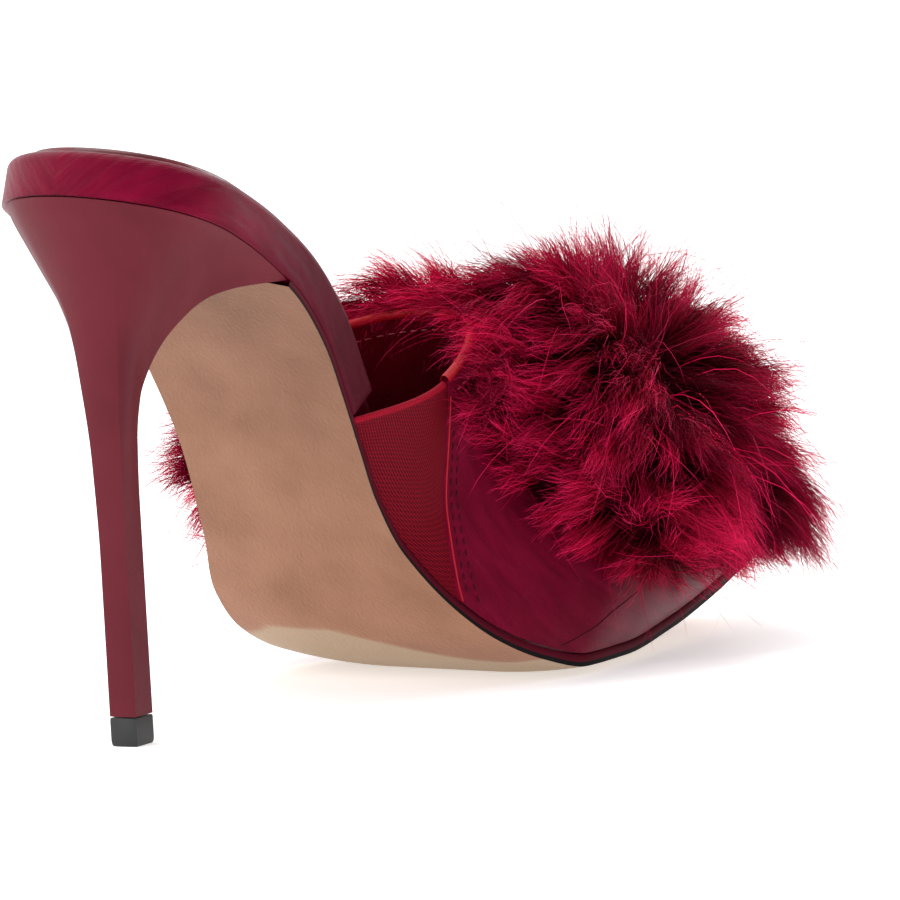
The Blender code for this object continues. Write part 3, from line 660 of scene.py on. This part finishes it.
# The vamp: burgundy satin over a glossy lining, closed to a point, its throat folded over a cord
# and stitched, with one slanting seam low on the inner side. It is lasted under the board.
INSTEP_HEIGHT = 0.0575
RIDGE_MERGE = 0.06
FLANK_RISE = 0.42
MERGE = 1e-6
GORE_TOP = 0.66
SEAM_GAP = 0.0004
STITCH_LENGTH = 0.0017
STITCH_PITCH = 0.0026
STITCH_THICK = 0.0002
STITCH_SWELL = (0.3, 0.9, 1.0, 0.9, 0.3)
STITCH_SIDES = 6
RIM_CORD = 0.0011
RIM_AHEAD = 0.002
PIPING = 0.00022
PIPING_BEHIND = 0.0012
SEAM_CORD = 0.00016
THROAT_ROW = 0.012
NEAR_ROW = 0.011
FAR_ROW = 0.023
WALL_ROWS = 90
LIP_ROWS = 9
UPPER = {
    "columns": ("station", "height", "lean", "ridge", "medial_bulge", "lateral_bulge", "shoulder"),
    "rows": (
        (0.30, 1.000, 58.0, 0.030, 0.200, 0.150, 0.62),
        (0.38, 1.000, 58.0, 0.030, 0.190, 0.130, 0.62),
        (0.50, 0.984, 49.5, 0.050, 0.120, 0.060, 0.60),
        (0.60, 0.861, 40.0, 0.080, 0.070, 0.040, 0.58),
        (0.70, 0.635, 34.0, 0.100, 0.060, 0.060, 0.60),
        (0.80, 0.430, 32.0, 0.115, 0.050, 0.055, 0.64),
        (0.90, 0.275, 30.0, 0.115, 0.035, 0.040, 0.68),
        (1.00, 0.125, 26.0, 0.105, 0.000, 0.000, 0.70),
    ),
}
TOPLINE = {
    "columns": ("around", "station"),
    "rows": ((-1.0, 0.327), (-0.66, 0.360), (0.0, 0.380), (0.66, 0.360), (1.0, 0.327)),
}
GORE_SEAM = {
    "columns": ("around", "station"),
    "rows": ((0.66, 0.366), (0.80, 0.425), (0.90, 0.470), (1.0, 0.511)),
}


def upper_point(station, around, inset=0.0):
    """Point of the upper's outer face, or of a face that lies inset inside it.

    Each half of a section is one cubic curve from the sole's edge to the crown line. The section
    stands on the sole and leans towards the toe.
    """
    station, around = np.broadcast_arrays(np.asarray(station, float), np.asarray(around, float))
    moved, middle, half = outline(station, inset)
    side = np.where(around >= 0, 1.0, -1.0)
    edge = middle + side * half
    bulge = np.where(around >= 0, read(UPPER, "medial_bulge", moved),
                     read(UPPER, "lateral_bulge", moved))
    flank = edge + side * bulge * BALL_WIDTH * rounding(station)
    narrow = np.clip((1 - station) / RIDGE_MERGE, 0, 1)
    ridge = middle + (read(UPPER, "ridge", moved) * BALL_WIDTH - middle) * narrow
    crest = ridge + read(UPPER, "shoulder", moved) * (flank - ridge)
    t = 1 - np.abs(around)
    first = (1 - t)**3
    second = 3 * (1 - t)**2 * t
    third = 3 * (1 - t) * t**2
    last = t**3
    x = first * edge + second * flank + third * crest + last * ridge
    height = read(UPPER, "height", moved) * INSTEP_HEIGHT - inset
    rise = (second * FLANK_RISE + third + last) * height
    lean = np.radians(read(UPPER, "lean", moved))
    y, z, toward, upward = sole_line(moved)
    level = board_level(moved)
    return np.stack([x, y + toward * level + rise * np.sin(lean),
                     z + upward * level + rise * np.cos(lean)], axis=-1)


def upper_normal(station, around):
    """Outward normal of the upper's outer face, from small steps along and around it."""
    step = 2e-3
    along = upper_point(station + step, around) - upper_point(station - step, around)
    across = upper_point(station, around + step) - upper_point(station, around - step)
    normal = np.cross(across, along)
    return normal / np.linalg.norm(normal, axis=-1, keepdims=True)


def throat_edge(around):
    """Station of the upper's rear edge: the gore's seam low on the inner side, or the throat."""
    return np.where(around >= GORE_TOP - MERGE, read(GORE_SEAM, "station", around),
                    read(TOPLINE, "station", around))


def wall_grid(around, first, last, rows, wall, step):
    """Grid over both faces of a wall, from its inner face around its rear edge to its outer face."""
    shares = np.linspace(0, 1, rows)[:, None]**1.3
    stations = first + (last - first) * shares
    around = np.broadcast_to(around, stations.shape)
    turn = np.linspace(0, math.pi, LIP_ROWS)[:, None]
    rolled = np.broadcast_to(first, (LIP_ROWS, len(first))) - np.sin(turn) * wall / 2 / SPAN
    inset = step + wall * (1 + np.cos(turn)) / 2
    lip = upper_point(rolled, np.broadcast_to(around[0], rolled.shape), inset)
    inside = upper_point(stations, around, step + wall)
    outside = upper_point(stations, around, step)
    return np.concatenate([inside[::-1], lip[1:-1], outside], axis=0)


def stitches(name, path, normal, material):
    """Row of short thread ends along a path, each a small six-sided spindle lying on the cloth."""
    run = np.concatenate([[0], np.cumsum(np.linalg.norm(np.diff(path, axis=0), axis=-1))])
    starts = np.arange(0.0006, run[-1] - STITCH_LENGTH, STITCH_PITCH)
    places = starts[:, None] + np.linspace(0, STITCH_LENGTH, len(STITCH_SWELL))
    middle = np.stack([np.interp(places, run, path[:, k]) for k in range(3)], axis=-1)
    out = np.stack([np.interp(places, run, normal[:, k]) for k in range(3)], axis=-1)
    along = middle[:, -1:] - middle[:, :1]
    along = along / np.linalg.norm(along, axis=-1, keepdims=True)
    across = np.cross(along, out)
    swell = STITCH_THICK * np.array(STITCH_SWELL)
    spin = np.linspace(0, 2 * math.pi, STITCH_SIDES + 1)[:-1, None]
    spoke = across[:, :, None] * np.cos(spin) + out[:, :, None] * np.sin(spin)
    ring = (middle + out * swell[:, None] * 0.5)[:, :, None] + spoke * swell[:, None, None]
    corner = np.arange(ring[..., 0].size).reshape(ring.shape[:3])
    quads = np.stack([corner[:, :-1], corner[:, 1:], np.roll(corner, -1, axis=2)[:, 1:],
                      np.roll(corner, -1, axis=2)[:, :-1]], axis=-1).reshape(-1, 4)
    mesh = bpy.data.meshes.new(name)
    mesh.from_pydata((ring - (0, SHAFT_FOOT, 0)).reshape(-1, 3).tolist(), [], quads.tolist())
    mesh.polygons.foreach_set("use_smooth", np.ones(len(quads), bool))
    mesh.materials.append(material)
    piece = bpy.data.objects.new(name, mesh)
    bpy.context.collection.objects.link(piece)
    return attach(piece, "root")


around = np.concatenate([np.linspace(1, GORE_TOP, 30), np.linspace(GORE_TOP, -1, 110)[1:]])
cloth = wall_grid(around, throat_edge(around), 1, WALL_ROWS, WALL, 0.0)
# Painted light: the vamp's satin is painted about a fifth brighter all over than the same satin's
# colours.
hull = surface("vamp", cloth[WALL_ROWS:], satin("vamp satin", 0.0004, 0.12), {"painted_light": 1.22})
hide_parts("vamp")
inside = surface("vamp_lining", cloth[:WALL_ROWS + 1], lining)


def cord_along(name, stations, around, inset, radius, material):
    """Thin round cord laid along the upper, its middle inset below the outer face."""
    spin = np.linspace(0, 2 * math.pi, 13)[:, None, None]
    middle = upper_point(stations, around, inset)
    out = upper_normal(stations, around)
    ahead = np.gradient(middle, axis=0)
    across = np.cross(out, ahead / np.linalg.norm(ahead, axis=-1, keepdims=True))
    return surface(name, middle + radius * (out * np.cos(spin) + across * np.sin(spin)), material)


# Painted highlight: the rolled throat edge and the gore's piping are cords in a bright red, far lighter
# than the satin, where light catches these edges.
painted_edge_highlight = finish("bright red painted edge highlight", (0.42, 0.003, 0.010), 0.45)
shader_of(painted_edge_highlight).inputs["Specular IOR Level"].default_value = 0.2
across = np.linspace(GORE_TOP, -1, 160)
row = read(TOPLINE, "station", across) - RIM_AHEAD
rim = cord_along("rolled_edge", row, across, WALL / 2, RIM_CORD, painted_edge_highlight)
down = np.linspace(0.67, 0.995, 60)
row = read(GORE_SEAM, "station", down) + PIPING_BEHIND
line = cord_along("gore_piping", row, down, 0.00005, PIPING, painted_edge_highlight)

thread = finish("dark thread", (0.05, 0.002, 0.01), 0.6)
pale_thread = finish("red thread", (0.45, 0.06, 0.09), 0.5)
shader_of(thread).inputs["Specular IOR Level"].default_value = 0.1
seam_run = np.linspace(0, 1, 40)
seam_station = np.interp(seam_run, [0, 0.25, 0.6, 1], [0.613, 0.630, 0.661, 0.700])
seam_around = np.interp(seam_run, [0, 0.25, 0.6, 1], [0.985, 0.92, 0.826, 0.74])
seam = cord_along("slanting_seam", seam_station, seam_around, 0.00003, SEAM_CORD, thread)
down = np.linspace(0.70, 0.985, 60)
for name, offset in (("near_row", NEAR_ROW), ("far_row", FAR_ROW)):
    row = read(GORE_SEAM, "station", down) + offset
    stitches(name, upper_point(row, down), upper_normal(row, down), thread)
across = np.linspace(GORE_TOP - 0.02, -0.98, 160)
row = read(TOPLINE, "station", across) + THROAT_ROW
out = upper_normal(row, across)
stitches("throat_row", upper_point(row, across, WALL), -out, pale_thread)
stitches("throat_row_outside", upper_point(row, across), out, pale_thread)

# The gore: ribbed elastic let into the upper's inner side, so that the shoe stretches over the
# instep. It is sewn under the vamp's seam, and its top edge is turned over as a plain welt.
GORE_WALL = 0.0012
GORE_STEP = 0.0003
RIB = 0.00062
WELT = 0.0016
WELT_FADE = 0.0003
GORE_ROWS = 60
ELASTIC_DEEP = (0.060, 0.0006, 0.004)
ELASTIC = (0.31, 0.003, 0.018)
elastic = finish("ribbed elastic", ELASTIC, 0.55)
shader_of(elastic).inputs["Specular Tint"].default_value = (1.0, 0.2, 0.25, 1)
shader_of(elastic).inputs["Specular IOR Level"].default_value = 0.15
ribs = stripes(elastic, 0, RIB * 1.6)
cords = stripes(elastic, math.pi / 2, RIB)
knit = add_node(elastic, "Math", {0: ribs, 1: cords}, operation="MULTIPLY").outputs[0]
woven = shades(elastic, knit, ((0.05, ELASTIC_DEEP), (0.6, ELASTIC)))
welt = add_node(elastic, "Attribute", {}, attribute_name="welt").outputs["Fac"]
mixed = add_node(elastic, "Mix", {0: welt, 6: woven, 7: (*ELASTIC, 1)}, data_type="RGBA")
link(elastic, mixed.outputs[2], "Base Color")
relief(elastic, ((knit, 0.00012),))
around = np.linspace(GORE_TOP + 0.012, 1, GORE_ROWS)
first = read(TOPLINE, "station", around)
last = read(GORE_SEAM, "station", around) - SEAM_GAP / SPAN
cloth = wall_grid(around, first, last, GORE_ROWS, GORE_WALL, GORE_STEP)
edge_run = np.linalg.norm(cloth - cloth[len(cloth) // 2 + 1], axis=-1)
plain = np.clip((WELT - edge_run) / WELT_FADE, 0, 1)
panel = surface("gore_medial", cloth, elastic, {"welt": plain})
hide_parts("gore_medial")

# The marabou: dyed turkey-down strips sewn over the upper. Its dense middle is a near-black body
# painted as the shade deep inside the down, and over it lie locks of fine barbs that part from
# whorls, arch over and droop.
FLUFF_GAP = 0.0004
FLUFF_SKIRT = 0.0050
CORE = 0.25
EVEN_OUT = 2
FLUFF_FIRST = 0.385
FLUFF_LAST = 0.955
FLUFF_MEDIAL = 0.56
FLUFF_LATERAL = -0.74
BODY_SHARE = 0.76
BODY_ROWS = 73
BODY_COLUMNS = 67
LOCKS = 1400
THROAT_LOCKS = 110
BARBS = 50
STEPS = 7
MESHES = 5
BARB_WIDTH = 0.00019
REACH_PAST = 0.0085
LOCK_REACH = 0.0125
TOE_LOCKS_FROM = 0.180
TOE_LOCKS = 0.66
DARK_ROUND = 0.034
LOCK_SPREAD = 0.0016
SPLAY = (0.0006, 0.0026)
CRIMP = 0.0008
CRIMP_LENGTH = 0.009
WHORL = np.array([0.0241, 0.1486, 0.0594])
HOLLOWS = np.array([[0.0305, 0.1513, 0.0478], [0.0384, 0.1649, 0.0358], [0.0262, 0.1500, 0.0560]])
HOLLOW_SIZE = 0.0080
FEATHER_PAINTED_SHADE = (0.016, 0.0002, 0.002)
FEATHER_ROOT = (0.19, 0.001, 0.012)
FEATHER = (0.56, 0.006, 0.060)
FEATHER_TIP = (0.70, 0.020, 0.110)
PUFFS = {
    "columns": ("station", "around", "lift", "radius"),
    "rows": (
        (0.43, -0.60, 0.02, 0.20),
        (0.42, -0.20, 0.05, 0.24),
        (0.42, 0.20, 0.06, 0.25),
        (0.52, -0.60, 0.05, 0.28),
        (0.50, -0.20, 0.14, 0.36),
        (0.50, 0.20, 0.20, 0.40),
        (0.52, 0.45, 0.08, 0.26),
        (0.63, -0.45, 0.14, 0.36),
        (0.63, 0.05, 0.26, 0.50),
        (0.64, 0.40, 0.16, 0.38),
        (0.77, 0.00, 0.40, 0.62),
        (0.80, 0.38, 0.20, 0.42),
        (0.80, -0.38, 0.16, 0.38),
        (0.90, 0.00, 0.16, 0.24),
    ),
}


def fluff_wall(stations, columns):
    """Inner and outer faces of the feather strips.

    Each point of the upper is moved away from the middle of its section, as far as the last of
    the puffs that its ray leaves. The thickness is then evened out between neighbours.
    """
    seat = upper_point(stations, columns, -FLUFF_GAP)
    crown = upper_point(stations, np.zeros(stations.shape))
    foot = sole_point(stations, 0, board_level(stations))
    ray = seat - (foot + (crown - foot) * CORE)
    reach = np.linalg.norm(ray, axis=-1)
    ray = ray / reach[..., None]
    thickness = np.full(stations.shape, FLUFF_SKIRT)
    for station, around, lift, radius in PUFFS["rows"]:
        normal = upper_normal(np.array(station), np.array(around))
        toward = upper_point(station, around) + normal * lift * INSTEP_HEIGHT - seat
        depth = (toward * ray).sum(-1)
        off = (toward * toward).sum(-1) - depth**2
        half = (radius * INSTEP_HEIGHT)**2 - off
        leaves = np.where(half > 0, depth + np.sqrt(np.maximum(half, 0)), 0)
        thickness = np.maximum(thickness, leaves)
    for _ in range(EVEN_OUT):
        around_it = np.pad(thickness, 1, mode="edge")
        thickness = (around_it[1:-1, 1:-1] * 2 + around_it[:-2, 1:-1] + around_it[2:, 1:-1]
                     + around_it[1:-1, :-2] + around_it[1:-1, 2:]) / 6
    return seat, seat + ray * thickness[..., None]


def unit(vectors):
    """Vectors brought to length 1."""
    return vectors / np.maximum(np.linalg.norm(vectors, axis=-1, keepdims=True), 1e-9)


def smooth_noise(places, size, seed):
    """Smooth vector field: a few sine waves of random direction, about one size in metres long."""
    chance = np.random.default_rng(seed)
    waves = chance.normal(size=(8, 3)) * 2 * math.pi / size / 1.7
    shift = chance.uniform(0, 2 * math.pi, (8, 3))
    phase = places @ waves.T
    return np.sin(phase[..., :, None] + shift).sum(axis=-2) / 3


def ribbons(name, paths, widths, sides, marks, material):
    """Joined mesh of flat tapering ribbons, one along each path, with a pointed end."""
    count, steps = paths.shape[:2]
    left = paths[:, :-1] + sides[:, :-1] * widths[:, :-1, None] / 2
    right = paths[:, :-1] - sides[:, :-1] * widths[:, :-1, None] / 2
    pairs = np.stack([left, right], axis=2).reshape(count, -1, 3)
    verts = np.concatenate([pairs, paths[:, -1:]], axis=1)
    size = 2 * (steps - 1) + 1
    first = np.arange(count)[:, None] * size
    k = np.arange(steps - 2) * 2
    quads = (first[..., None] + np.stack([k, k + 1, k + 3, k + 2], axis=-1)).reshape(-1, 4)
    tips = first + np.array([size - 3, size - 2, size - 1])
    mesh = bpy.data.meshes.new(name)
    mesh.vertices.add(count * size)
    mesh.vertices.foreach_set("co", verts.reshape(-1).astype(np.float32))
    loops = np.concatenate([quads.ravel(), tips.ravel()])
    mesh.loops.add(len(loops))
    mesh.loops.foreach_set("vertex_index", loops.astype(np.int32))
    starts = np.concatenate([np.arange(len(quads)) * 4, 4 * len(quads) + np.arange(count) * 3])
    mesh.polygons.add(len(starts))
    mesh.polygons.foreach_set("loop_start", starts.astype(np.int32))
    mesh.update(calc_edges=True)
    mesh.validate()
    mesh.polygons.foreach_set("use_smooth", np.ones(len(mesh.polygons), bool))
    for mark, values in marks.items():
        spread = np.concatenate([np.repeat(values[:, :-1], 2, axis=1), values[:, -1:]], axis=1)
        made = mesh.attributes.new(mark, "FLOAT", "POINT")
        made.data.foreach_set("value", spread.ravel().astype(np.float32))
    mesh.materials.append(material)
    piece = bpy.data.objects.new(name, mesh)
    bpy.context.collection.objects.link(piece)
    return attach(piece, "root")


def grow(roots, normals, flows, lengths, droop, curl, seed):
    """Paths that leave the skin, bend over along the flow and droop, each step one unit heading."""
    t = np.linspace(0, 1, STEPS)[:, None]
    out = normals[:, None] * (0.85 - 0.85 * t)
    over = flows[:, None] * (0.50 + 0.85 * t)
    fall = np.array([0, 0, -1.0]) * (droop[:, None, None] * t**1.5)
    start = roots[:, None] + (normals[:, None] * t) * lengths[:, None, None]
    wander = smooth_noise(start, 0.016, seed) * curl[:, None, None]
    heading = unit(out + over + fall + wander * (0.2 + t))
    steps = heading[:, :-1] * (lengths[:, None, None] / (STEPS - 1))
    return np.concatenate([roots[:, None], roots[:, None] + np.cumsum(steps, axis=1)], axis=1)


chance = np.random.default_rng(7)
rows = np.linspace(0, 1, BODY_ROWS)[:, None]
columns = np.linspace(FLUFF_MEDIAL, FLUFF_LATERAL, BODY_COLUMNS)
stations, columns = np.broadcast_arrays(FLUFF_FIRST + (FLUFF_LAST - FLUFF_FIRST) * rows, columns)
seat, outer = fluff_wall(stations, columns)
seat = seat - (0, SHAFT_FOOT, 0)
outer = outer - (0, SHAFT_FOOT, 0)
body = seat + (outer - seat) * BODY_SHARE
skin = np.pad(seat, ((1, 1), (1, 1), (0, 0)), mode="edge")
skin[1:-1, 1:-1] = body
gap = np.pad(np.linalg.norm(outer - body, axis=-1), 1)
facing = np.cross(np.gradient(skin, axis=1), np.gradient(skin, axis=0))
facing = unit(facing * np.sign((facing[1:-1, 1:-1] * (outer - seat)).sum()))

# Painted shade: the body is near black, for the shade deep inside the down, and has no shine.
down = finish("painted shade body", FEATHER_PAINTED_SHADE, 0.95)
shader_of(down).inputs["Specular IOR Level"].default_value = 0.0
shade_body = surface("marabou_painted_shade_body", skin + (0, SHAFT_FOOT, 0), down)
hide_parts("marabou")

feather = finish("dyed down", FEATHER, 0.55)
shader = shader_of(feather)
shader.inputs["Specular IOR Level"].default_value = 0.08
shader.inputs["Specular Tint"].default_value = (1.0, 0.30, 0.45, 1)
along = add_node(feather, "Attribute", {}, attribute_name="along").outputs["Fac"]
tone_and_painted_shading = add_node(feather, "Attribute", {}, attribute_name="tone_and_painted_shading").outputs["Fac"]
# Painted shade: the barbs are painted near black at the root, as the shade inside the mass, and grow
# lighter to their pinker tips, partly their dye and partly painted light.
graded = shades(feather, along, ((0.0, FEATHER_PAINTED_SHADE), (0.35, FEATHER_ROOT),
                                 (0.75, FEATHER), (1.0, FEATHER_TIP)))
toned = add_node(feather, "HueSaturation", {"Color": graded, "Value": tone_and_painted_shading}).outputs["Color"]
link(feather, toned, "Base Color")

cell = np.linalg.norm(np.cross(np.diff(skin, axis=0)[:, :-1], np.diff(skin, axis=1)[:-1]), axis=-1)
picked = chance.choice(cell.size, LOCKS, p=(cell / cell.sum()).ravel())
i, j = np.divmod(picked, cell.shape[1])
root = skin[i, j] + (skin[i + 1, j + 1] - skin[i, j]) * chance.uniform(0, 1, (LOCKS, 1))
normal = facing[i, j]
away = root - WHORL
flow = away - (away * normal).sum(-1, keepdims=True) * normal
flow = unit(unit(flow) + 0.30 * smooth_noise(root, 0.034, 3) + 0.12 * chance.normal(size=root.shape))
reach = (gap[i, j] * 0.7 + LOCK_REACH) * chance.uniform(0.7, 1.2, LOCKS)
reach = reach * np.where(root[:, 1] > TOE_LOCKS_FROM, TOE_LOCKS, 1.0)
# Painted shade: locks are darkened near the whorl, where they part, and in the hollows; the noise and
# random factors vary their tone.
shade = 0.50 + 0.65 * np.clip(np.linalg.norm(away, axis=-1) / DARK_ROUND, 0, 1)
shade = shade * (1 + 0.22 * smooth_noise(root, 0.022, 9)[:, 0]) * chance.uniform(0.8, 1.15, LOCKS)
near = np.linalg.norm(root[:, None] - HOLLOWS, axis=-1).min(axis=1)
reach = np.where(near < HOLLOW_SIZE, 0.003, reach)
shade = shade * np.clip(near / (2.2 * HOLLOW_SIZE), 0.4, 1)

# The throat's locks: shorter feathers sewn along the upper's rear edge. They lean back over its
# rim and down the inner side.
around = chance.uniform(-0.95, 0.64, THROAT_LOCKS)
edge_station = chance.uniform(0.384, 0.400, THROAT_LOCKS)
edge_root = upper_point(edge_station, around, -0.001) - (0, SHAFT_FOOT, 0)
edge_normal = upper_normal(edge_station, around)
backward = np.array([0, -1.0, -0.25]) + 0.35 * chance.normal(size=edge_root.shape)
root = np.concatenate([root, edge_root])
normal = np.concatenate([normal, edge_normal])
flow = np.concatenate([flow, unit(backward)])
reach = np.concatenate([reach, chance.uniform(0.009, 0.017, THROAT_LOCKS)])
shade = np.concatenate([shade, chance.uniform(0.6, 1.1, THROAT_LOCKS)])
order = chance.permutation(len(root))
root, normal, flow, reach, shade = (values[order] for values in (root, normal, flow, reach, shade))
count = len(root)
droop = chance.uniform(0.1, 0.55, count)
curl = chance.uniform(0.08, 0.38, count)
guides = grow(root, normal, flow, reach, droop, curl, 11)

t = np.linspace(0, 1, STEPS)
limit_low = np.array(cad_box[0]) - REACH_PAST
limit_high = np.array(cad_box[1]) + REACH_PAST
limit_low[2] = 0.001
per_mesh = (LOCKS + THROAT_LOCKS) // MESHES
for k in range(MESHES):
    chosen = slice(k * per_mesh, (k + 1) * per_mesh)
    guide = np.repeat(guides[chosen], BARBS, axis=0)
    count = len(guide)
    offset = chance.normal(size=(count, 3)) * LOCK_SPREAD
    splay = chance.normal(size=(count, 3))
    splay = splay * np.repeat(chance.uniform(*SPLAY, per_mesh), BARBS)[:, None]
    share = chance.uniform(0.55, 1.15, (count, 1, 1))
    barb = guide[:, :1] + (guide - guide[:, :1]) * share
    barb = barb + offset[:, None] * (1 - 0.6 * t[:, None]) + splay[:, None] * (t[:, None]**1.6)
    barb = barb + smooth_noise(barb + offset[:, None] * 3, CRIMP_LENGTH, 21) * CRIMP * t[:, None]
    side = unit(np.cross(np.gradient(barb, axis=1), chance.normal(size=(count, 1, 3))))
    width = BARB_WIDTH * (1 - 0.75 * t) * chance.uniform(0.7, 1.3, (count, 1))
    kept = ((barb > limit_low) & (barb < limit_high)).all(axis=(1, 2))
    marks = {"along": np.broadcast_to(t, (count, STEPS))[kept] * share[kept, :, 0],
             "tone_and_painted_shading": (np.repeat(shade[chosen], BARBS)[:, None]
                      * chance.uniform(0.75, 1.25, (count, 1)) + 0 * t)[kept]}
    tuft = ribbons("barbs_%d" % (k + 1), barb[kept], width[kept], side[kept], marks, feather)

# The stray barbs: single long hairs of the same down, pulled loose from the strips. They hang
# over the vamp and stand off the edge of the puff.
STRAYS = 800
STRAY_WIDTH = 0.00020
HANGING_AT = np.array([0.004, 0.006, -0.012])
HANGING_ROUND = 0.016
HANGING_DROOP = 2.2
pick = chance.choice(cell.size, STRAYS, p=(cell / cell.sum()).ravel())
i, j = np.divmod(pick, cell.shape[1])
root = skin[i, j]
normal = facing[i, j]
away = root - WHORL
flow = away - (away * normal).sum(-1, keepdims=True) * normal
flow = unit(flow + 0.02 * chance.normal(size=root.shape))
reach = (gap[i, j] + 0.018) * chance.uniform(0.8, 1.6, STRAYS)
droop = chance.uniform(0.0, 1.4, STRAYS)
hanging = np.linalg.norm(away - HANGING_AT, axis=-1) < HANGING_ROUND
droop = np.where(hanging, HANGING_DROOP, droop)
reach = np.where(hanging, chance.uniform(0.026, 0.044, STRAYS), reach)
hair = grow(root, normal, flow, reach, droop, chance.uniform(0.05, 0.35, STRAYS), 5)
side = unit(np.cross(np.gradient(hair, axis=1), chance.normal(size=(STRAYS, 1, 3))))
width = STRAY_WIDTH * (1 - 0.8 * t) * np.ones((STRAYS, 1))
kept = ((hair > limit_low) & (hair < limit_high)).all(axis=(1, 2))
# Painted light: the hanging strays are painted brighter than the rest; the random factor varies their
# tone.
marks = {"along": np.broadcast_to(0.5 + t / 2, (STRAYS, STEPS))[kept],
         "tone_and_painted_shading": (chance.uniform(0.8, 1.5, (STRAYS, 1)) + 1.2 * hanging[:, None] + 0 * t)[kept]}
ribbons("stray_barbs", hair[kept], width[kept], side[kept], marks, feather)
